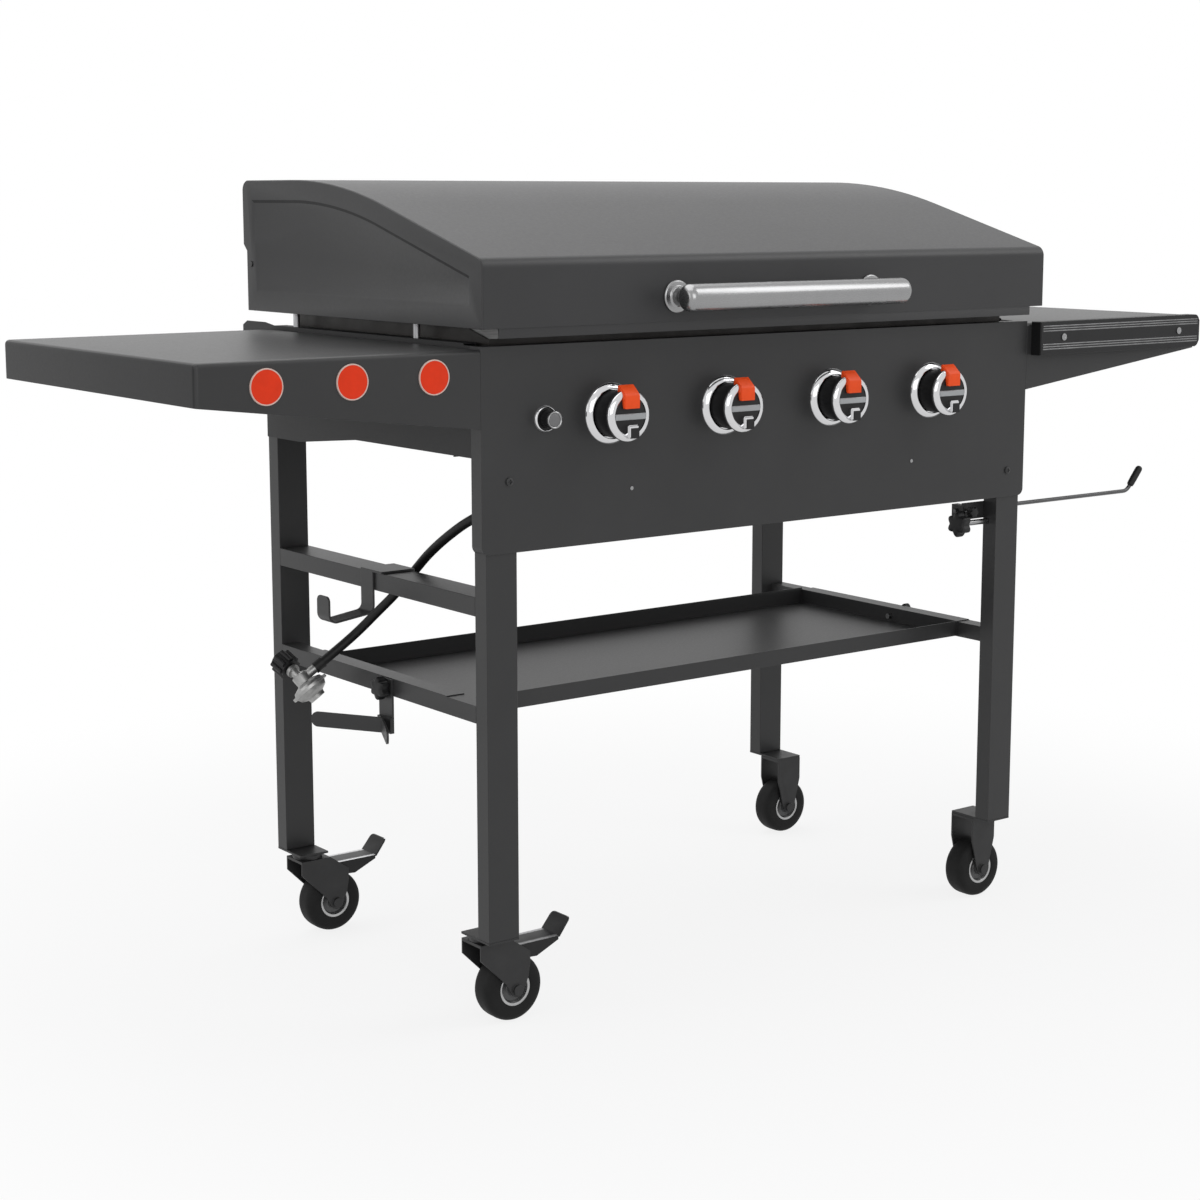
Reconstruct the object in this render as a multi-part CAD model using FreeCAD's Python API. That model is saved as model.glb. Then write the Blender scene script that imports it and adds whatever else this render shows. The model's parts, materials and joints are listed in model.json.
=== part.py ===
import FreeCAD, Part
import math
import os

V = FreeCAD.Vector
os.makedirs("parts", exist_ok=True)

# Outdoor gas griddle station, millimetres.
# Datum while modelling: floor at z = 0, front face of the control panel at y = 0, middle of the panel at x = 0.
# +X is the cook's right, +Y points to the back, +Z is up. The export moves the datum to the middle of the footprint.

# Sheet metal
panel_sheet = 2.0
box_sheet = 1.5
shelf_sheet = 1.5
hood_sheet = 2.0
tray_sheet = 1.2
strap_sheet = 3.0

# Control panel
panel_half_width = 470.0
panel_bottom = 605.0
panel_top = 855.0
panel_return = 22.0
panel_corner = 10.0
panel_overhang = 7.0

# Legs, rectangular tube, long side across the front
leg_width = 45.0
leg_depth = 25.0
leg_wall = 1.5
leg_outer = panel_half_width - panel_overhang
left_leg_bottom = 120.0
right_leg_bottom = 127.0
leg_top = 840.0
rear_leg_back = 535.0

# Crossbars of the end frames, square tube
bar_width = 25.0
bar_height = 22.0
bar_wall = 1.5
upper_bar_bottom = 527.0
upper_bar_height = 24.0
lower_bar_bottom = 394.0
right_bar_drop = 8.0

# Burner box
box_front_edge = 720.0
box_rear_edge = 704.0
box_back = 598.0
box_rail = 20.0
box_rail_rise = 2.5
box_hump = 6.0
inner_front_wall = 70.0
ledge_width = 28.0
ledge_top = 838.0
shield_height = 730.0

# Griddle plate
plate_half_width = 440.0
plate_front = 26.0
plate_back = 487.0
plate_thickness = 4.0
plate_wall = 3.0
plate_front_lip = 862.0
plate_side_top = 884.0
plate_slope_end = 112.0
foot_radius = 8.0
foot_height = 8.0
foot_inset = 40.0

# Grease chute and cup
chute_x = 250.0
chute_width = 60.0
cup_width = 100.0
cup_depth = 68.0
cup_height = 84.0
cup_sheet = 1.2
cup_flange = 9.0
cup_rail_gap = 0.3

# Side shelves
shelf_outer = 843.0
shelf_top = 852.0
shelf_depth = 524.0
shelf_end_height = 49.0
shelf_root_height = 95.0
shelf_corner = 6.0

# Tool strip on the right apron
strip_start = 479.0
strip_end = 831.0
strip_height = 48.0
strip_depth = 18.0

# Round badges on the left apron
badge_radius = 21.0
badge_rim = 1.6
badge_first = 535.5
badge_pitch = 110.0
badge_z = 822.5

# Control knobs, bezels, stems and valves
knob_pitch = 185.3
knob_count = 4
knob_z = 766.0
bezel_radius = 39.0
bezel_ring = 6.0
bezel_rise = 7.5
knob_radius = 32.5
knob_skirt_radius = 29.5
knob_face = 38.0
knob_bevel_width = 10.0
knob_bevel_rise = 4.5
knob_dish = 1.5
knob_back = 6.5
knob_push = 3.0
band_height = 7.5
band_low = 5.0
tab_half_width = 13.0
tab_low = 8.0
tab_high = 37.5
tab_front = 8.0
tab_depth = 16.0
grip_half_width = 8.0
grip_low = 27.0
grip_high = 11.0
grip_front = 11.0
stem_radius = 3.0
valve_width = 24.0
valve_front = 12.0
valve_back = 46.0
valve_half_height = 14.0
running_gap = 0.05

# Igniter
igniter_x = -377.0
igniter_z = 765.0
igniter_ring_radius = 17.0
igniter_button_radius = 11.0
igniter_projection = 22.0
igniter_travel = 5.0
igniter_barrel_depth = 34.0
igniter_bore_depth = 22.0
electrode_ceramic = 40.0
electrode_length = 52.0
electrode_gap = 9.0
electrode_radius = 3.5

# Manifold and burners
manifold_radius = 10.0
manifold_wall = 2.0
manifold_y = 34.0
manifold_drop = 26.0
manifold_left = -362.0
manifold_right = 305.0
burner_radius = 18.0
burner_wall = 1.2
burner_front = 58.0
burner_back = 470.0
jet_radius = 4.0

# Hood
hood_half_width = 480.0
hood_front = -19.0
hood_bottom = 877.0
hood_crease = 958.0
hood_slope = 16.0
hood_brow = 835.0
hood_top = 1052.0
hood_back = 562.0
hood_back_bottom = 966.0
hood_step = 9.0
hood_corner = 14.0
hood_end_edge = 2.5
hood_hem = 12.0
hood_hem_inset = 25.0
pressing_border = 26.0
pressing_depth = 1.8
pressing_slope = 4.0
rest_lip = 30.0
hinge_y = 540.0
hinge_z = 940.0
hinge_x = 356.0
hinge_pin_radius = 4.0
hinge_ear_radius = 12.0
hinge_play = 0.4

# Hood handle
handle_shift = -24.0
handle_length = 378.0
handle_radius = 17.0
handle_wall = 1.5
handle_z = 908.0
handle_reach = 44.0
post_spacing = 330.0
post_radius = 11.0
post_flange_radius = 20.5
post_flange = 4.0

# Hood rest pins
rest_pin_radius = 4.5
rest_pin_front = 160.0
rest_pin_rear = 460.0
rest_gap = 0.3

# Bottom shelf tray
tray_front = 92.0
tray_back = 436.0
tray_floor = 387.0
tray_lip = 22.0
tray_rear_wall = 25.0

# Gas bottle hook and bracket
hook_y = 275.0
hook_width = 30.0
hook_saddle_width = 52.0
hook_drop = 30.0
hook_reach = 66.0
hook_sag = 9.0
hook_lip = 37.0
hook_bend = 9.0
cradle_y = 233.0
cradle_strap_width = 32.0
cradle_bottom = 345.0
cradle_height = 20.0
cradle_angle = 32.0
cradle_front_angle = 26.0
cradle_rear_arm = 112.0
cradle_front_arm = 84.0
side_knob_z = 404.0

# Star knobs
star_radius = 15.5
star_thickness = 15.0
star_lobes = 6
stud_radius = 4.0

# Bag rod and its bracket
rod_radius = 3.0
rod_y = 40.0
rod_z = 585.0
rod_left = 372.0
rod_bend = 738.0
rod_bend_radius = 18.0
rod_tip_length = 34.0
rod_tip_angle = 50.0
sleeve_radius = 4.5
sleeve_length = 30.0
bracket_left = 376.0
bracket_right = 460.0
bracket_height = 24.0
guide_width = 12.0
lock_knob_radius = 8.5
lock_knob_thickness = 12.0
leg_knob_y = 20.0
leg_knob_z = 569.0
leg_knob_gap = 47.0
leg_knob_radius = 16.5

# Casters
wheel_radius = 43.0
wheel_width = 34.0
tyre_thickness = 20.0
hub_web = 10.0
swivel_inset = 30.5
swivel_trail = 34.0
fixed_inset = 38.0
caster_plate = 3.0
swivel_plate_length = 63.0
race_radius = 21.0
race_height = 6.0
fork_gap = 2.5
fork_sheet = 2.5
fork_top = 4.0
fork_half_width = 23.0
axle_radius = 4.0
axle_boss = 10.0
pedal_width = 38.0
pedal_reach = 85.0
pedal_tab = 20.5
pedal_tab_lean = 15.0
pedal_flange = 20.0
pedal_sheet = 2.0
pedal_pin_radius = 3.0

# Gas hose: route points from the manifold fitting to the ferrule, and the regulator
hose_radius = 6.2
hose_route = [
    (-362, 34, 716), (-362, 34, 686), (-366, 45, 657), (-374, 69, 633), (-385, 102, 616), (-396, 140, 603),
    (-402, 183, 589), (-405, 222, 571), (-405, 252, 549), (-406, 277, 529), (-410, 302, 507), (-421, 326, 483),
    (-440, 340, 459), (-464, 347, 439), (-490, 351, 421),
]
ferrule_radius = 8.0
ferrule_length = 14.0
regulator_radius = 27.0
regulator_reach = 36.0
regulator_axis = (0.45, -0.49, -0.745)
inlet_direction = (-0.2, 0.87, 0.43)
nut_radius = 17.0
nut_length = 24.0
nut_bore = 11.0

# Screws
screw_radius = 5.0
screw_head = 3.0
bolt_left_inset = 40.0
bolt_left_z = 692.0
bolt_right_inset = 34.0
bolt_right_z = 643.0
rivet_x = 244.0
rivet_z = 670.0
strip_rivet_inset = 48.5
strip_rivet_rise = 7.0
spacer_front = 90.0
spacer_rear = 430.0
spacer_drop = 45.0

nodes = {}


def box(x0, x1, y0, y1, z0, z1):
    """Block between two corners."""
    return Part.makeBox(abs(x1 - x0), abs(y1 - y0), abs(z1 - z0), V(min(x0, x1), min(y0, y1), min(z0, z1)))


def rod_between(start, end, radius):
    """Round bar from one point to another."""
    along = V(*end) - V(*start)
    return Part.makeCylinder(radius, along.Length, V(*start), along)


def tube_between(start, end, radius, bore):
    """Round tube from one point to another."""
    return rod_between(start, end, radius).cut(rod_between(start, end, bore))


def prism(points, push):
    """Polygon through the points, pushed along a vector."""
    corners = [V(*p) for p in points]
    face = Part.Face(Part.makePolygon(corners + [corners[0]]))
    return face.extrude(V(*push))


def rect_tube(x0, x1, y0, y1, z0, z1, wall, axis):
    """Rectangular tube, open at both ends, along the named axis."""
    inset = {"x": (0, wall, wall), "y": (wall, 0, wall), "z": (wall, wall, 0)}[axis]
    hollow = box(x0 + inset[0], x1 - inset[0], y0 + inset[1], y1 - inset[1], z0 + inset[2], z1 - inset[2])
    return box(x0, x1, y0, y1, z0, z1).cut(hollow)


def mirrored(shape):
    """The same piece on the other side of the middle plane."""
    return shape.mirror(V(0, 0, 0), V(1, 0, 0))


def fuse_all(shapes):
    """Shapes welded into one solid."""
    first = shapes[0]
    for other in shapes[1:]:
        first = first.fuse(other)
    return first.removeSplitter()


def group(shapes):
    """Separate solids kept side by side in one node."""
    return Part.makeCompound([solid for shape in shapes for solid in shape.Solids])


def revolve_y(profile, x, z):
    """Half profile of (radius, y) points turned about the Y axis through (x, z)."""
    points = [(x + radius, y, z) for radius, y in profile]
    corners = [V(*p) for p in points]
    face = Part.Face(Part.makePolygon(corners + [corners[0]]))
    return face.revolve(V(x, 0, z), V(0, 1, 0), 360)


def turned(profile, base, along):
    """Half profile of (radius, distance) points turned about an axis, then laid along a direction."""
    corners = [V(radius, 0, distance) for radius, distance in profile]
    solid = Part.Face(Part.makePolygon(corners + [corners[0]])).revolve(V(0, 0, 0), V(0, 0, 1), 360)
    turn = FreeCAD.Rotation(V(0, 0, 1), V(*along))
    solid.Placement = FreeCAD.Placement(V(*base), turn)
    return solid


def moved(point, along, distance):
    """Point shifted by a distance along a direction."""
    unit = V(*along).normalize()
    shifted = V(*point) + unit * distance
    return (shifted.x, shifted.y, shifted.z)


# Control panel: folded sheet with a return on every side and a narrow lip that meets the burner box
leg_inner = leg_outer - leg_width
front_leg_front = panel_sheet
front_leg_back = front_leg_front + leg_depth
rear_leg_front = rear_leg_back - leg_depth
box_side = leg_outer + box_sheet
knob_places = [knob_pitch * (index - (knob_count - 1) / 2) for index in range(knob_count)]


def panel_block(inset, y0, y1):
    """Block with the outline of the control panel, its two lower corners rounded."""
    half = panel_half_width - inset
    block = box(-half, half, y0, y1, panel_bottom + inset, panel_top - inset)
    lower = []
    for edge in block.Edges:
        box_of_edge = edge.BoundBox
        along_y = box_of_edge.YLength > 0.5 * (y1 - y0)
        if along_y and box_of_edge.ZMax < panel_bottom + inset + 1:
            lower.append(edge)
    return block.makeFillet(panel_corner - inset, lower)


def make_front_panel():
    pan = panel_block(0, 0, panel_return).cut(panel_block(panel_sheet, panel_sheet, panel_return + 1))
    corner_top = panel_bottom + panel_corner + panel_sheet
    for side in (-1, 1):
        notch_outer = side * (box_side + 1)
        notch_inner = side * (leg_inner - panel_sheet)
        notch = box(notch_inner, notch_outer, panel_sheet, panel_return + 1, panel_bottom - 1, corner_top)
        pan = pan.cut(notch)
        lip_outer = side * (panel_half_width - panel_sheet)
        lip_back = panel_return - panel_sheet
        lip = box(side * box_side, lip_outer, lip_back, panel_return, corner_top, panel_top - panel_sheet)
        pan = pan.fuse(lip)
    for x in knob_places:
        pan = pan.cut(rod_between((x, -1, knob_z), (x, panel_sheet + 1, knob_z), stem_radius * 2))
    barrel = igniter_ring_radius - 3
    start = (igniter_x, -1, igniter_z)
    pan = pan.cut(rod_between(start, (igniter_x, panel_sheet + 1, igniter_z), barrel + running_gap))
    return pan.removeSplitter()


nodes["front_panel"] = make_front_panel()


# Burner box: two side sheets that run past the back as wings, inner front wall, back wall, rails and ledges
back_wall_back = rear_leg_front
back_wall_front = back_wall_back - box_sheet
cup_front = back_wall_back + cup_rail_gap
cup_back = cup_front + cup_depth
cup_top = ledge_top - box_sheet - 6


def side_sheet(side):
    """Side of the box: raised rail, hump at the back, wing that clears the rear leg, bottom edge falling at the back."""
    rail_top = panel_top + box_rail_rise
    hump_top = panel_top + box_hump
    outline = [
        (side * leg_outer, panel_sheet, box_front_edge),
        (side * leg_outer, panel_sheet, panel_top - panel_sheet),
        (side * leg_outer, panel_return, panel_top - panel_sheet),
        (side * leg_outer, panel_return, panel_top),
        (side * leg_outer, 2 * panel_return, panel_top),
        (side * leg_outer, 2 * panel_return + box_rail_rise, rail_top),
        (side * leg_outer, back_wall_back, rail_top),
        (side * leg_outer, rear_leg_back, hump_top),
        (side * leg_outer, box_back - 2 * box_hump, hump_top),
        (side * leg_outer, box_back, hump_top - box_hump),
        (side * leg_outer, box_back, box_rear_edge + 46),
        (side * leg_outer, rear_leg_back, box_rear_edge + 30),
        (side * leg_outer, rear_leg_back, box_rear_edge),
        (side * leg_outer, rear_leg_back - 90, box_rear_edge),
        (side * leg_outer, rear_leg_back - 235, box_front_edge - 1),
    ]
    return prism(outline, (side * box_sheet, 0, 0))


def make_burner_box():
    pieces = [side_sheet(-1), side_sheet(1)]
    for side in (-1, 1):
        rail_inner = side * (box_side - box_rail)
        rail_front = 2 * panel_return + box_rail_rise
        rail_top = panel_top + box_rail_rise
        pieces.append(box(side * leg_outer, rail_inner, rail_front, back_wall_back, rail_top - box_sheet, rail_top))
        lip_inner = rail_inner + side * box_sheet
        pieces.append(box(rail_inner, lip_inner, rail_front, back_wall_back, rail_top - 8, rail_top))
    wall_bottom = shield_height - 12
    inner_back = inner_front_wall + box_sheet
    pieces.append(box(-leg_outer, leg_outer, inner_front_wall, inner_back, wall_bottom, ledge_top))
    front_ledge_back = inner_front_wall + ledge_width
    ledge_bottom = ledge_top - box_sheet
    pieces.append(box(-leg_outer, leg_outer, inner_front_wall, front_ledge_back, ledge_bottom, ledge_top))
    pieces.append(box(-leg_outer, leg_outer, back_wall_front, back_wall_back, wall_bottom, panel_top))
    rear_ledge_front = back_wall_front - ledge_width
    pieces.append(box(-leg_outer, leg_outer, rear_ledge_front, back_wall_back, ledge_bottom, ledge_top))
    shell = fuse_all(pieces)
    for x in knob_places:
        hole = burner_radius + 1
        start = (x, inner_front_wall - 1, knob_z)
        shell = shell.cut(rod_between(start, (x, inner_back + 1, knob_z), hole))
    slot_half = chute_width / 2 + cup_sheet
    slot_low = ledge_top - box_sheet - 1
    slot_high = ledge_top + foot_height + plate_thickness + 1
    slot = box(chute_x - slot_half, chute_x + slot_half, rear_ledge_front - 1, back_wall_back + 1, slot_low, slot_high)
    shell = shell.cut(slot)
    rail_top = cup_top - cup_sheet - cup_rail_gap
    rail_start = cup_width / 2 + cup_rail_gap
    rail_end = rail_start + cup_flange + strap_sheet
    for side in (-1, 1):
        x0 = chute_x + side * rail_start
        x1 = chute_x + side * rail_end
        shelf = box(x0, x1, back_wall_back, cup_back, rail_top - box_sheet, rail_top)
        guard = box(x1 - side * box_sheet, x1, back_wall_back, cup_back, rail_top - box_sheet, rail_top + 6)
        shell = shell.fuse(shelf).fuse(guard)
    return shell.removeSplitter()


nodes["burner_box"] = make_burner_box()


def make_heat_shield():
    front = inner_front_wall + box_sheet
    edge = shield_height + 14
    outer = box(-leg_outer, leg_outer, front, back_wall_front, shield_height, edge)
    hollow = box(-leg_outer + tray_sheet, leg_outer - tray_sheet, front + tray_sheet, back_wall_front - tray_sheet,
                 shield_height + tray_sheet, edge + 1)
    return outer.cut(hollow)


nodes["heat_shield"] = make_heat_shield()


# Legs
def make_leg(side, front, back):
    foot = left_leg_bottom if side < 0 else right_leg_bottom
    tube = rect_tube(leg_inner, leg_outer, front, back, foot, leg_top, leg_wall, "z")
    return tube if side > 0 else mirrored(tube)


nodes["front_left_leg"] = make_leg(-1, front_leg_front, front_leg_back)
nodes["rear_left_leg"] = make_leg(-1, rear_leg_front, rear_leg_back)
nodes["rear_right_leg"] = make_leg(1, rear_leg_front, rear_leg_back)
leg_bore_end = leg_inner + leg_wall + 1
leg_knob_hole = rod_between((leg_inner - 1, leg_knob_y, leg_knob_z), (leg_bore_end, leg_knob_y, leg_knob_z),
                            stud_radius + running_gap)
nodes["front_right_leg"] = make_leg(1, front_leg_front, front_leg_back).cut(leg_knob_hole)


# Crossbars, outer faces flush with the legs; the lower ones carry the studs of the side knobs
right_bar_bottom = lower_bar_bottom - right_bar_drop
right_knob_z = side_knob_z - right_bar_drop


def make_crossbar(width, bottom, height):
    return rect_tube(leg_outer - width, leg_outer, front_leg_back, rear_leg_front, bottom, bottom + height, bar_wall, "y")


def stud_hole(x0, x1, z):
    return rod_between((x0, cradle_y, z), (x1, cradle_y, z), stud_radius + running_gap)


bar_inner = leg_outer - bar_width
lower_left = mirrored(make_crossbar(bar_width, lower_bar_bottom, bar_height))
lower_right = make_crossbar(bar_width, right_bar_bottom, bar_height)
nodes["left_upper_crossbar"] = mirrored(make_crossbar(leg_width, upper_bar_bottom, upper_bar_height))
nodes["left_lower_crossbar"] = lower_left.cut(stud_hole(-leg_outer - 1, 1 - bar_inner, side_knob_z))
nodes["right_lower_crossbar"] = lower_right.cut(stud_hole(bar_inner - 1, leg_outer + 1, right_knob_z))


# Bottom shelf: a pan between the lower crossbars, its side rims folded over their tops
def make_bottom_shelf():
    wall_x = bar_inner
    pieces = []
    pieces.append(box(-wall_x, wall_x, tray_front, tray_back, tray_floor, tray_floor + tray_sheet))
    pieces.append(box(-wall_x, wall_x, tray_front, tray_front + tray_sheet, tray_floor, tray_floor + tray_lip))
    rear_top = tray_floor + tray_rear_wall
    pieces.append(box(-wall_x, wall_x, tray_back - tray_sheet, tray_back, tray_floor, rear_top))
    for side, bottom in ((-1, lower_bar_bottom), (1, right_bar_bottom)):
        rim_low = bottom + bar_height
        inner = side * (wall_x - tray_sheet)
        pieces.append(box(side * wall_x, inner, tray_front, tray_back, tray_floor, rim_low + tray_sheet))
        pieces.append(box(side * leg_outer, inner, tray_front, tray_back, rim_low, rim_low + tray_sheet))
    pan = fuse_all(pieces)
    pan = pan.cut(stud_hole(-wall_x - 1, tray_sheet + 1 - wall_x, side_knob_z))
    return pan.cut(stud_hole(wall_x - tray_sheet - 1, wall_x + 1, right_knob_z))


nodes["bottom_shelf"] = make_bottom_shelf()


# Griddle plate: flat plate with raised rim, low at the front, a chute at the back and four feet on the ledges
plate_bottom = ledge_top + foot_height
plate_top = plate_bottom + plate_thickness


def make_griddle_plate():
    half = plate_half_width
    pieces = [box(-half, half, plate_front, plate_back, plate_bottom, plate_top)]
    pieces.append(box(-half, half, plate_front, plate_front + plate_wall, plate_bottom, plate_front_lip))
    pieces.append(box(-half, half, plate_back - plate_wall, plate_back, plate_bottom, plate_side_top))
    for side in (-1, 1):
        outline = [
            (side * half, plate_front, plate_bottom),
            (side * half, plate_front, plate_front_lip),
            (side * half, plate_front + plate_wall, plate_front_lip),
            (side * half, plate_slope_end, plate_side_top),
            (side * half, plate_back, plate_side_top),
            (side * half, plate_back, plate_bottom),
        ]
        pieces.append(prism(outline, (-side * plate_wall, 0, 0)))
    chute_half = chute_width / 2
    chute_end = cup_front + cup_depth / 2
    chute_base = box(chute_x - chute_half, chute_x + chute_half, plate_back - 1, chute_end, plate_bottom, plate_top)
    pieces.append(chute_base)
    for y in (inner_front_wall + ledge_width / 2, back_wall_front - ledge_width / 2):
        for x in (-half + foot_inset, half - foot_inset):
            pieces.append(rod_between((x, y, ledge_top), (x, y, plate_bottom), foot_radius))
    plate = fuse_all(pieces)
    drain_half = chute_half - 6
    drain = box(chute_x - drain_half, chute_x + drain_half, plate_back - plate_wall - 1, plate_back + 1,
                plate_top, plate_top + 14)
    return plate.cut(drain)


nodes["griddle_plate"] = make_griddle_plate()


# Grease cup: open sheet cup below the chute, its side flanges slide on two rails behind the box
def make_grease_cup():
    x0 = chute_x - cup_width / 2
    x1 = chute_x + cup_width / 2
    outer = box(x0, x1, cup_front, cup_back, cup_top - cup_height, cup_top)
    hollow = box(x0 + cup_sheet, x1 - cup_sheet, cup_front + cup_sheet, cup_back - cup_sheet,
                 cup_top - cup_height + cup_sheet, cup_top + 1)
    cup = outer.cut(hollow)
    flanges = []
    for side in (-1, 1):
        edge_x = chute_x + side * cup_width / 2
        flanges.append(box(edge_x, edge_x + side * cup_flange, cup_front, cup_back, cup_top - cup_sheet, cup_top))
    return fuse_all([cup] + flanges)


nodes["grease_cup"] = make_grease_cup()


# Side shelves: pressed pan upside down, aprons deeper towards the body
def shelf_pan(inset, x0, x1, y0, y1, drop):
    outline = [
        (x0, y0, shelf_top - inset),
        (x1, y0, shelf_top - inset),
        (x1, y0, shelf_top - shelf_end_height - drop),
        (x0, y0, shelf_top - shelf_root_height - drop),
    ]
    return prism(outline, (0, y1 - y0, 0))


def make_shelf():
    outer = shelf_pan(0, panel_half_width, shelf_outer, 0, shelf_depth, 0)
    top_edges = []
    for edge in outer.Edges:
        limits = edge.BoundBox
        on_top = limits.ZMin > shelf_top - 0.1
        away_from_body = limits.XMax > panel_half_width + 1
        upright_outer = limits.XMin > shelf_outer - 0.1 and limits.ZLength > 1
        if (on_top and away_from_body) or upright_outer:
            top_edges.append(edge)
    outer = outer.makeFillet(shelf_corner, top_edges)
    hollow = shelf_pan(shelf_sheet, panel_half_width + shelf_sheet, shelf_outer - shelf_sheet,
                       shelf_sheet, shelf_depth - shelf_sheet, 5)
    inner_edges = []
    for edge in hollow.Edges:
        limits = edge.BoundBox
        on_top = limits.ZMin > shelf_top - shelf_sheet - 0.1 and limits.XMax > panel_half_width + shelf_sheet + 1
        upright_outer = limits.XMin > shelf_outer - shelf_sheet - 0.1 and limits.ZLength > 1
        if on_top or upright_outer:
            inner_edges.append(edge)
    hollow = hollow.makeFillet(shelf_corner - shelf_sheet, inner_edges)
    return outer.cut(hollow)


nodes["right_shelf"] = make_shelf()
nodes["left_shelf"] = mirrored(make_shelf())


# Tool strip: ribbed bar with two steel rails, screwed to the right apron
def make_tool_strip():
    low = shelf_top - strip_height
    groove = strip_height / 8
    rib = strip_depth / 4
    body = box(strip_start, strip_end, -strip_depth, 0, low, shelf_top)
    end_corners = []
    for edge in body.Edges:
        limits = edge.BoundBox
        if limits.XMin > strip_end - 0.1 and limits.YLength > 1:
            end_corners.append(edge)
    body = body.makeFillet(2 * rib, end_corners)
    long_edges = []
    for edge in body.Edges:
        limits = edge.BoundBox
        if limits.YMax < -strip_depth + 0.1:
            long_edges.append(edge)
    body = body.makeChamfer(rib / 3, long_edges)
    rails = []
    for level in (low + 2 * groove, shelf_top - 3 * groove):
        body = body.cut(box(strip_start - 1, strip_end + 1, -strip_depth - 1, rib - strip_depth, level, level + groove))
        rails.append(box(strip_start + rib, strip_end - rib, rib / 2 - strip_depth, rib - strip_depth, level, level + groove))
    return group([body] + rails)


nodes["tool_strip"] = make_tool_strip()


# Badges on the left apron: disc with a raised rim
def make_badge(x):
    rim = badge_radius - badge_rim
    profile = [(0, 0), (badge_radius, 0), (badge_radius, -2), (rim, -2), (rim, -1.2), (0, -1.2)]
    return revolve_y(profile, x, badge_z)


nodes["shelf_badges"] = group([make_badge(-badge_first - badge_pitch * index) for index in range(3)])


# Control knobs with their bezels and stems
def make_bezel(x):
    ring_inner = bezel_radius - bezel_ring
    hole = stem_radius * 2
    profile = [(hole, 0), (bezel_radius, 0), (bezel_radius, 1 - bezel_rise), (bezel_radius - 1, -bezel_rise),
               (ring_inner, -bezel_rise), (ring_inner - 2, -1.2), (hole, -1.2)]
    return revolve_y(profile, x, knob_z)


stem_front = 14 - knob_face


def make_stem(x):
    front = stem_front
    back = valve_back - 8
    stem = rod_between((x, front, knob_z), (x, back, knob_z), stem_radius)
    flat = box(x - 2 * stem_radius, x + 2 * stem_radius, front - 1, -knob_back, knob_z + stem_radius / 2, knob_z + 2 * stem_radius)
    return stem.cut(flat)


def make_knob(x):
    """Skirt, bevelled rim round a dished face, band across it, marker tab over the top and grip below, D bore."""
    face = -knob_face
    inner_radius = knob_radius - knob_bevel_width
    inner_face = face - knob_bevel_rise
    dish = inner_face + knob_dish
    profile = [(0, -knob_back), (knob_skirt_radius, -knob_back), (knob_skirt_radius, face + 4), (knob_radius, face + 3),
               (knob_radius, face), (inner_radius, inner_face), (inner_radius, dish), (0, dish)]
    body = revolve_y(profile, x, knob_z)
    band_bottom = knob_z - band_low
    band_half = inner_radius - 1
    body = body.fuse(box(x - band_half, x + band_half, inner_face + 0.3, dish + 1, band_bottom, band_bottom + band_height))
    for half, front, back, low, high in (
        (tab_half_width, face - tab_front, face - tab_front + tab_depth, tab_low, tab_high),
        (grip_half_width, face - grip_front, dish + 1, -grip_low, -grip_high),
    ):
        block = box(x - half, x + half, front, back, knob_z + low, knob_z + high)
        front_edges = []
        for edge in block.Edges:
            if edge.BoundBox.YMax < front + 0.5:
                front_edges.append(edge)
        body = body.fuse(block.makeFillet(half / 8, front_edges))
    bore_end = stem_front - knob_push - 0.5
    bore = rod_between((x, -knob_back + 1, knob_z), (x, bore_end, knob_z), stem_radius + running_gap)
    flat_low = knob_z + stem_radius / 2 + running_gap
    flat = box(x - 2 * stem_radius, x + 2 * stem_radius, bore_end - 1, -knob_back, flat_low, knob_z + 2 * stem_radius)
    key = bore.cut(flat)
    entry = rod_between((x, -knob_back + 1, knob_z), (x, -knob_back - knob_push - 0.5, knob_z), stem_radius + running_gap)
    return body.cut(key).cut(entry)


nodes["knob_bezels"] = group([make_bezel(x) for x in knob_places])
for number, x in enumerate(knob_places, 1):
    nodes["valve_stem_%d" % number] = make_stem(x)
    nodes["control_knob_%d" % number] = make_knob(x)


# Gas valves sit on the manifold; each has a stem bore, a neck down into the tube and a jet into its burner
manifold_z = knob_z - manifold_drop


def make_valve(x):
    half = valve_width / 2
    low = knob_z - valve_half_height
    body = box(x - half, x + half, valve_front, valve_back, low, knob_z + valve_half_height)
    body = body.fuse(rod_between((x, manifold_y, low), (x, manifold_y, manifold_z + manifold_radius / 2), half / 2))
    body = body.fuse(rod_between((x, valve_front - 6, knob_z), (x, valve_front, knob_z), stem_radius * 2))
    body = body.fuse(rod_between((x, valve_back, knob_z), (x, burner_front + 6, knob_z), jet_radius))
    bore = rod_between((x, valve_front - 7, knob_z), (x, valve_back - 7, knob_z), stem_radius + running_gap)
    return body.cut(bore)


nodes["gas_valves"] = group([make_valve(x) for x in knob_places])

elbow_size = 2 * manifold_radius
hose_exit = hose_route[0]


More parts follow.
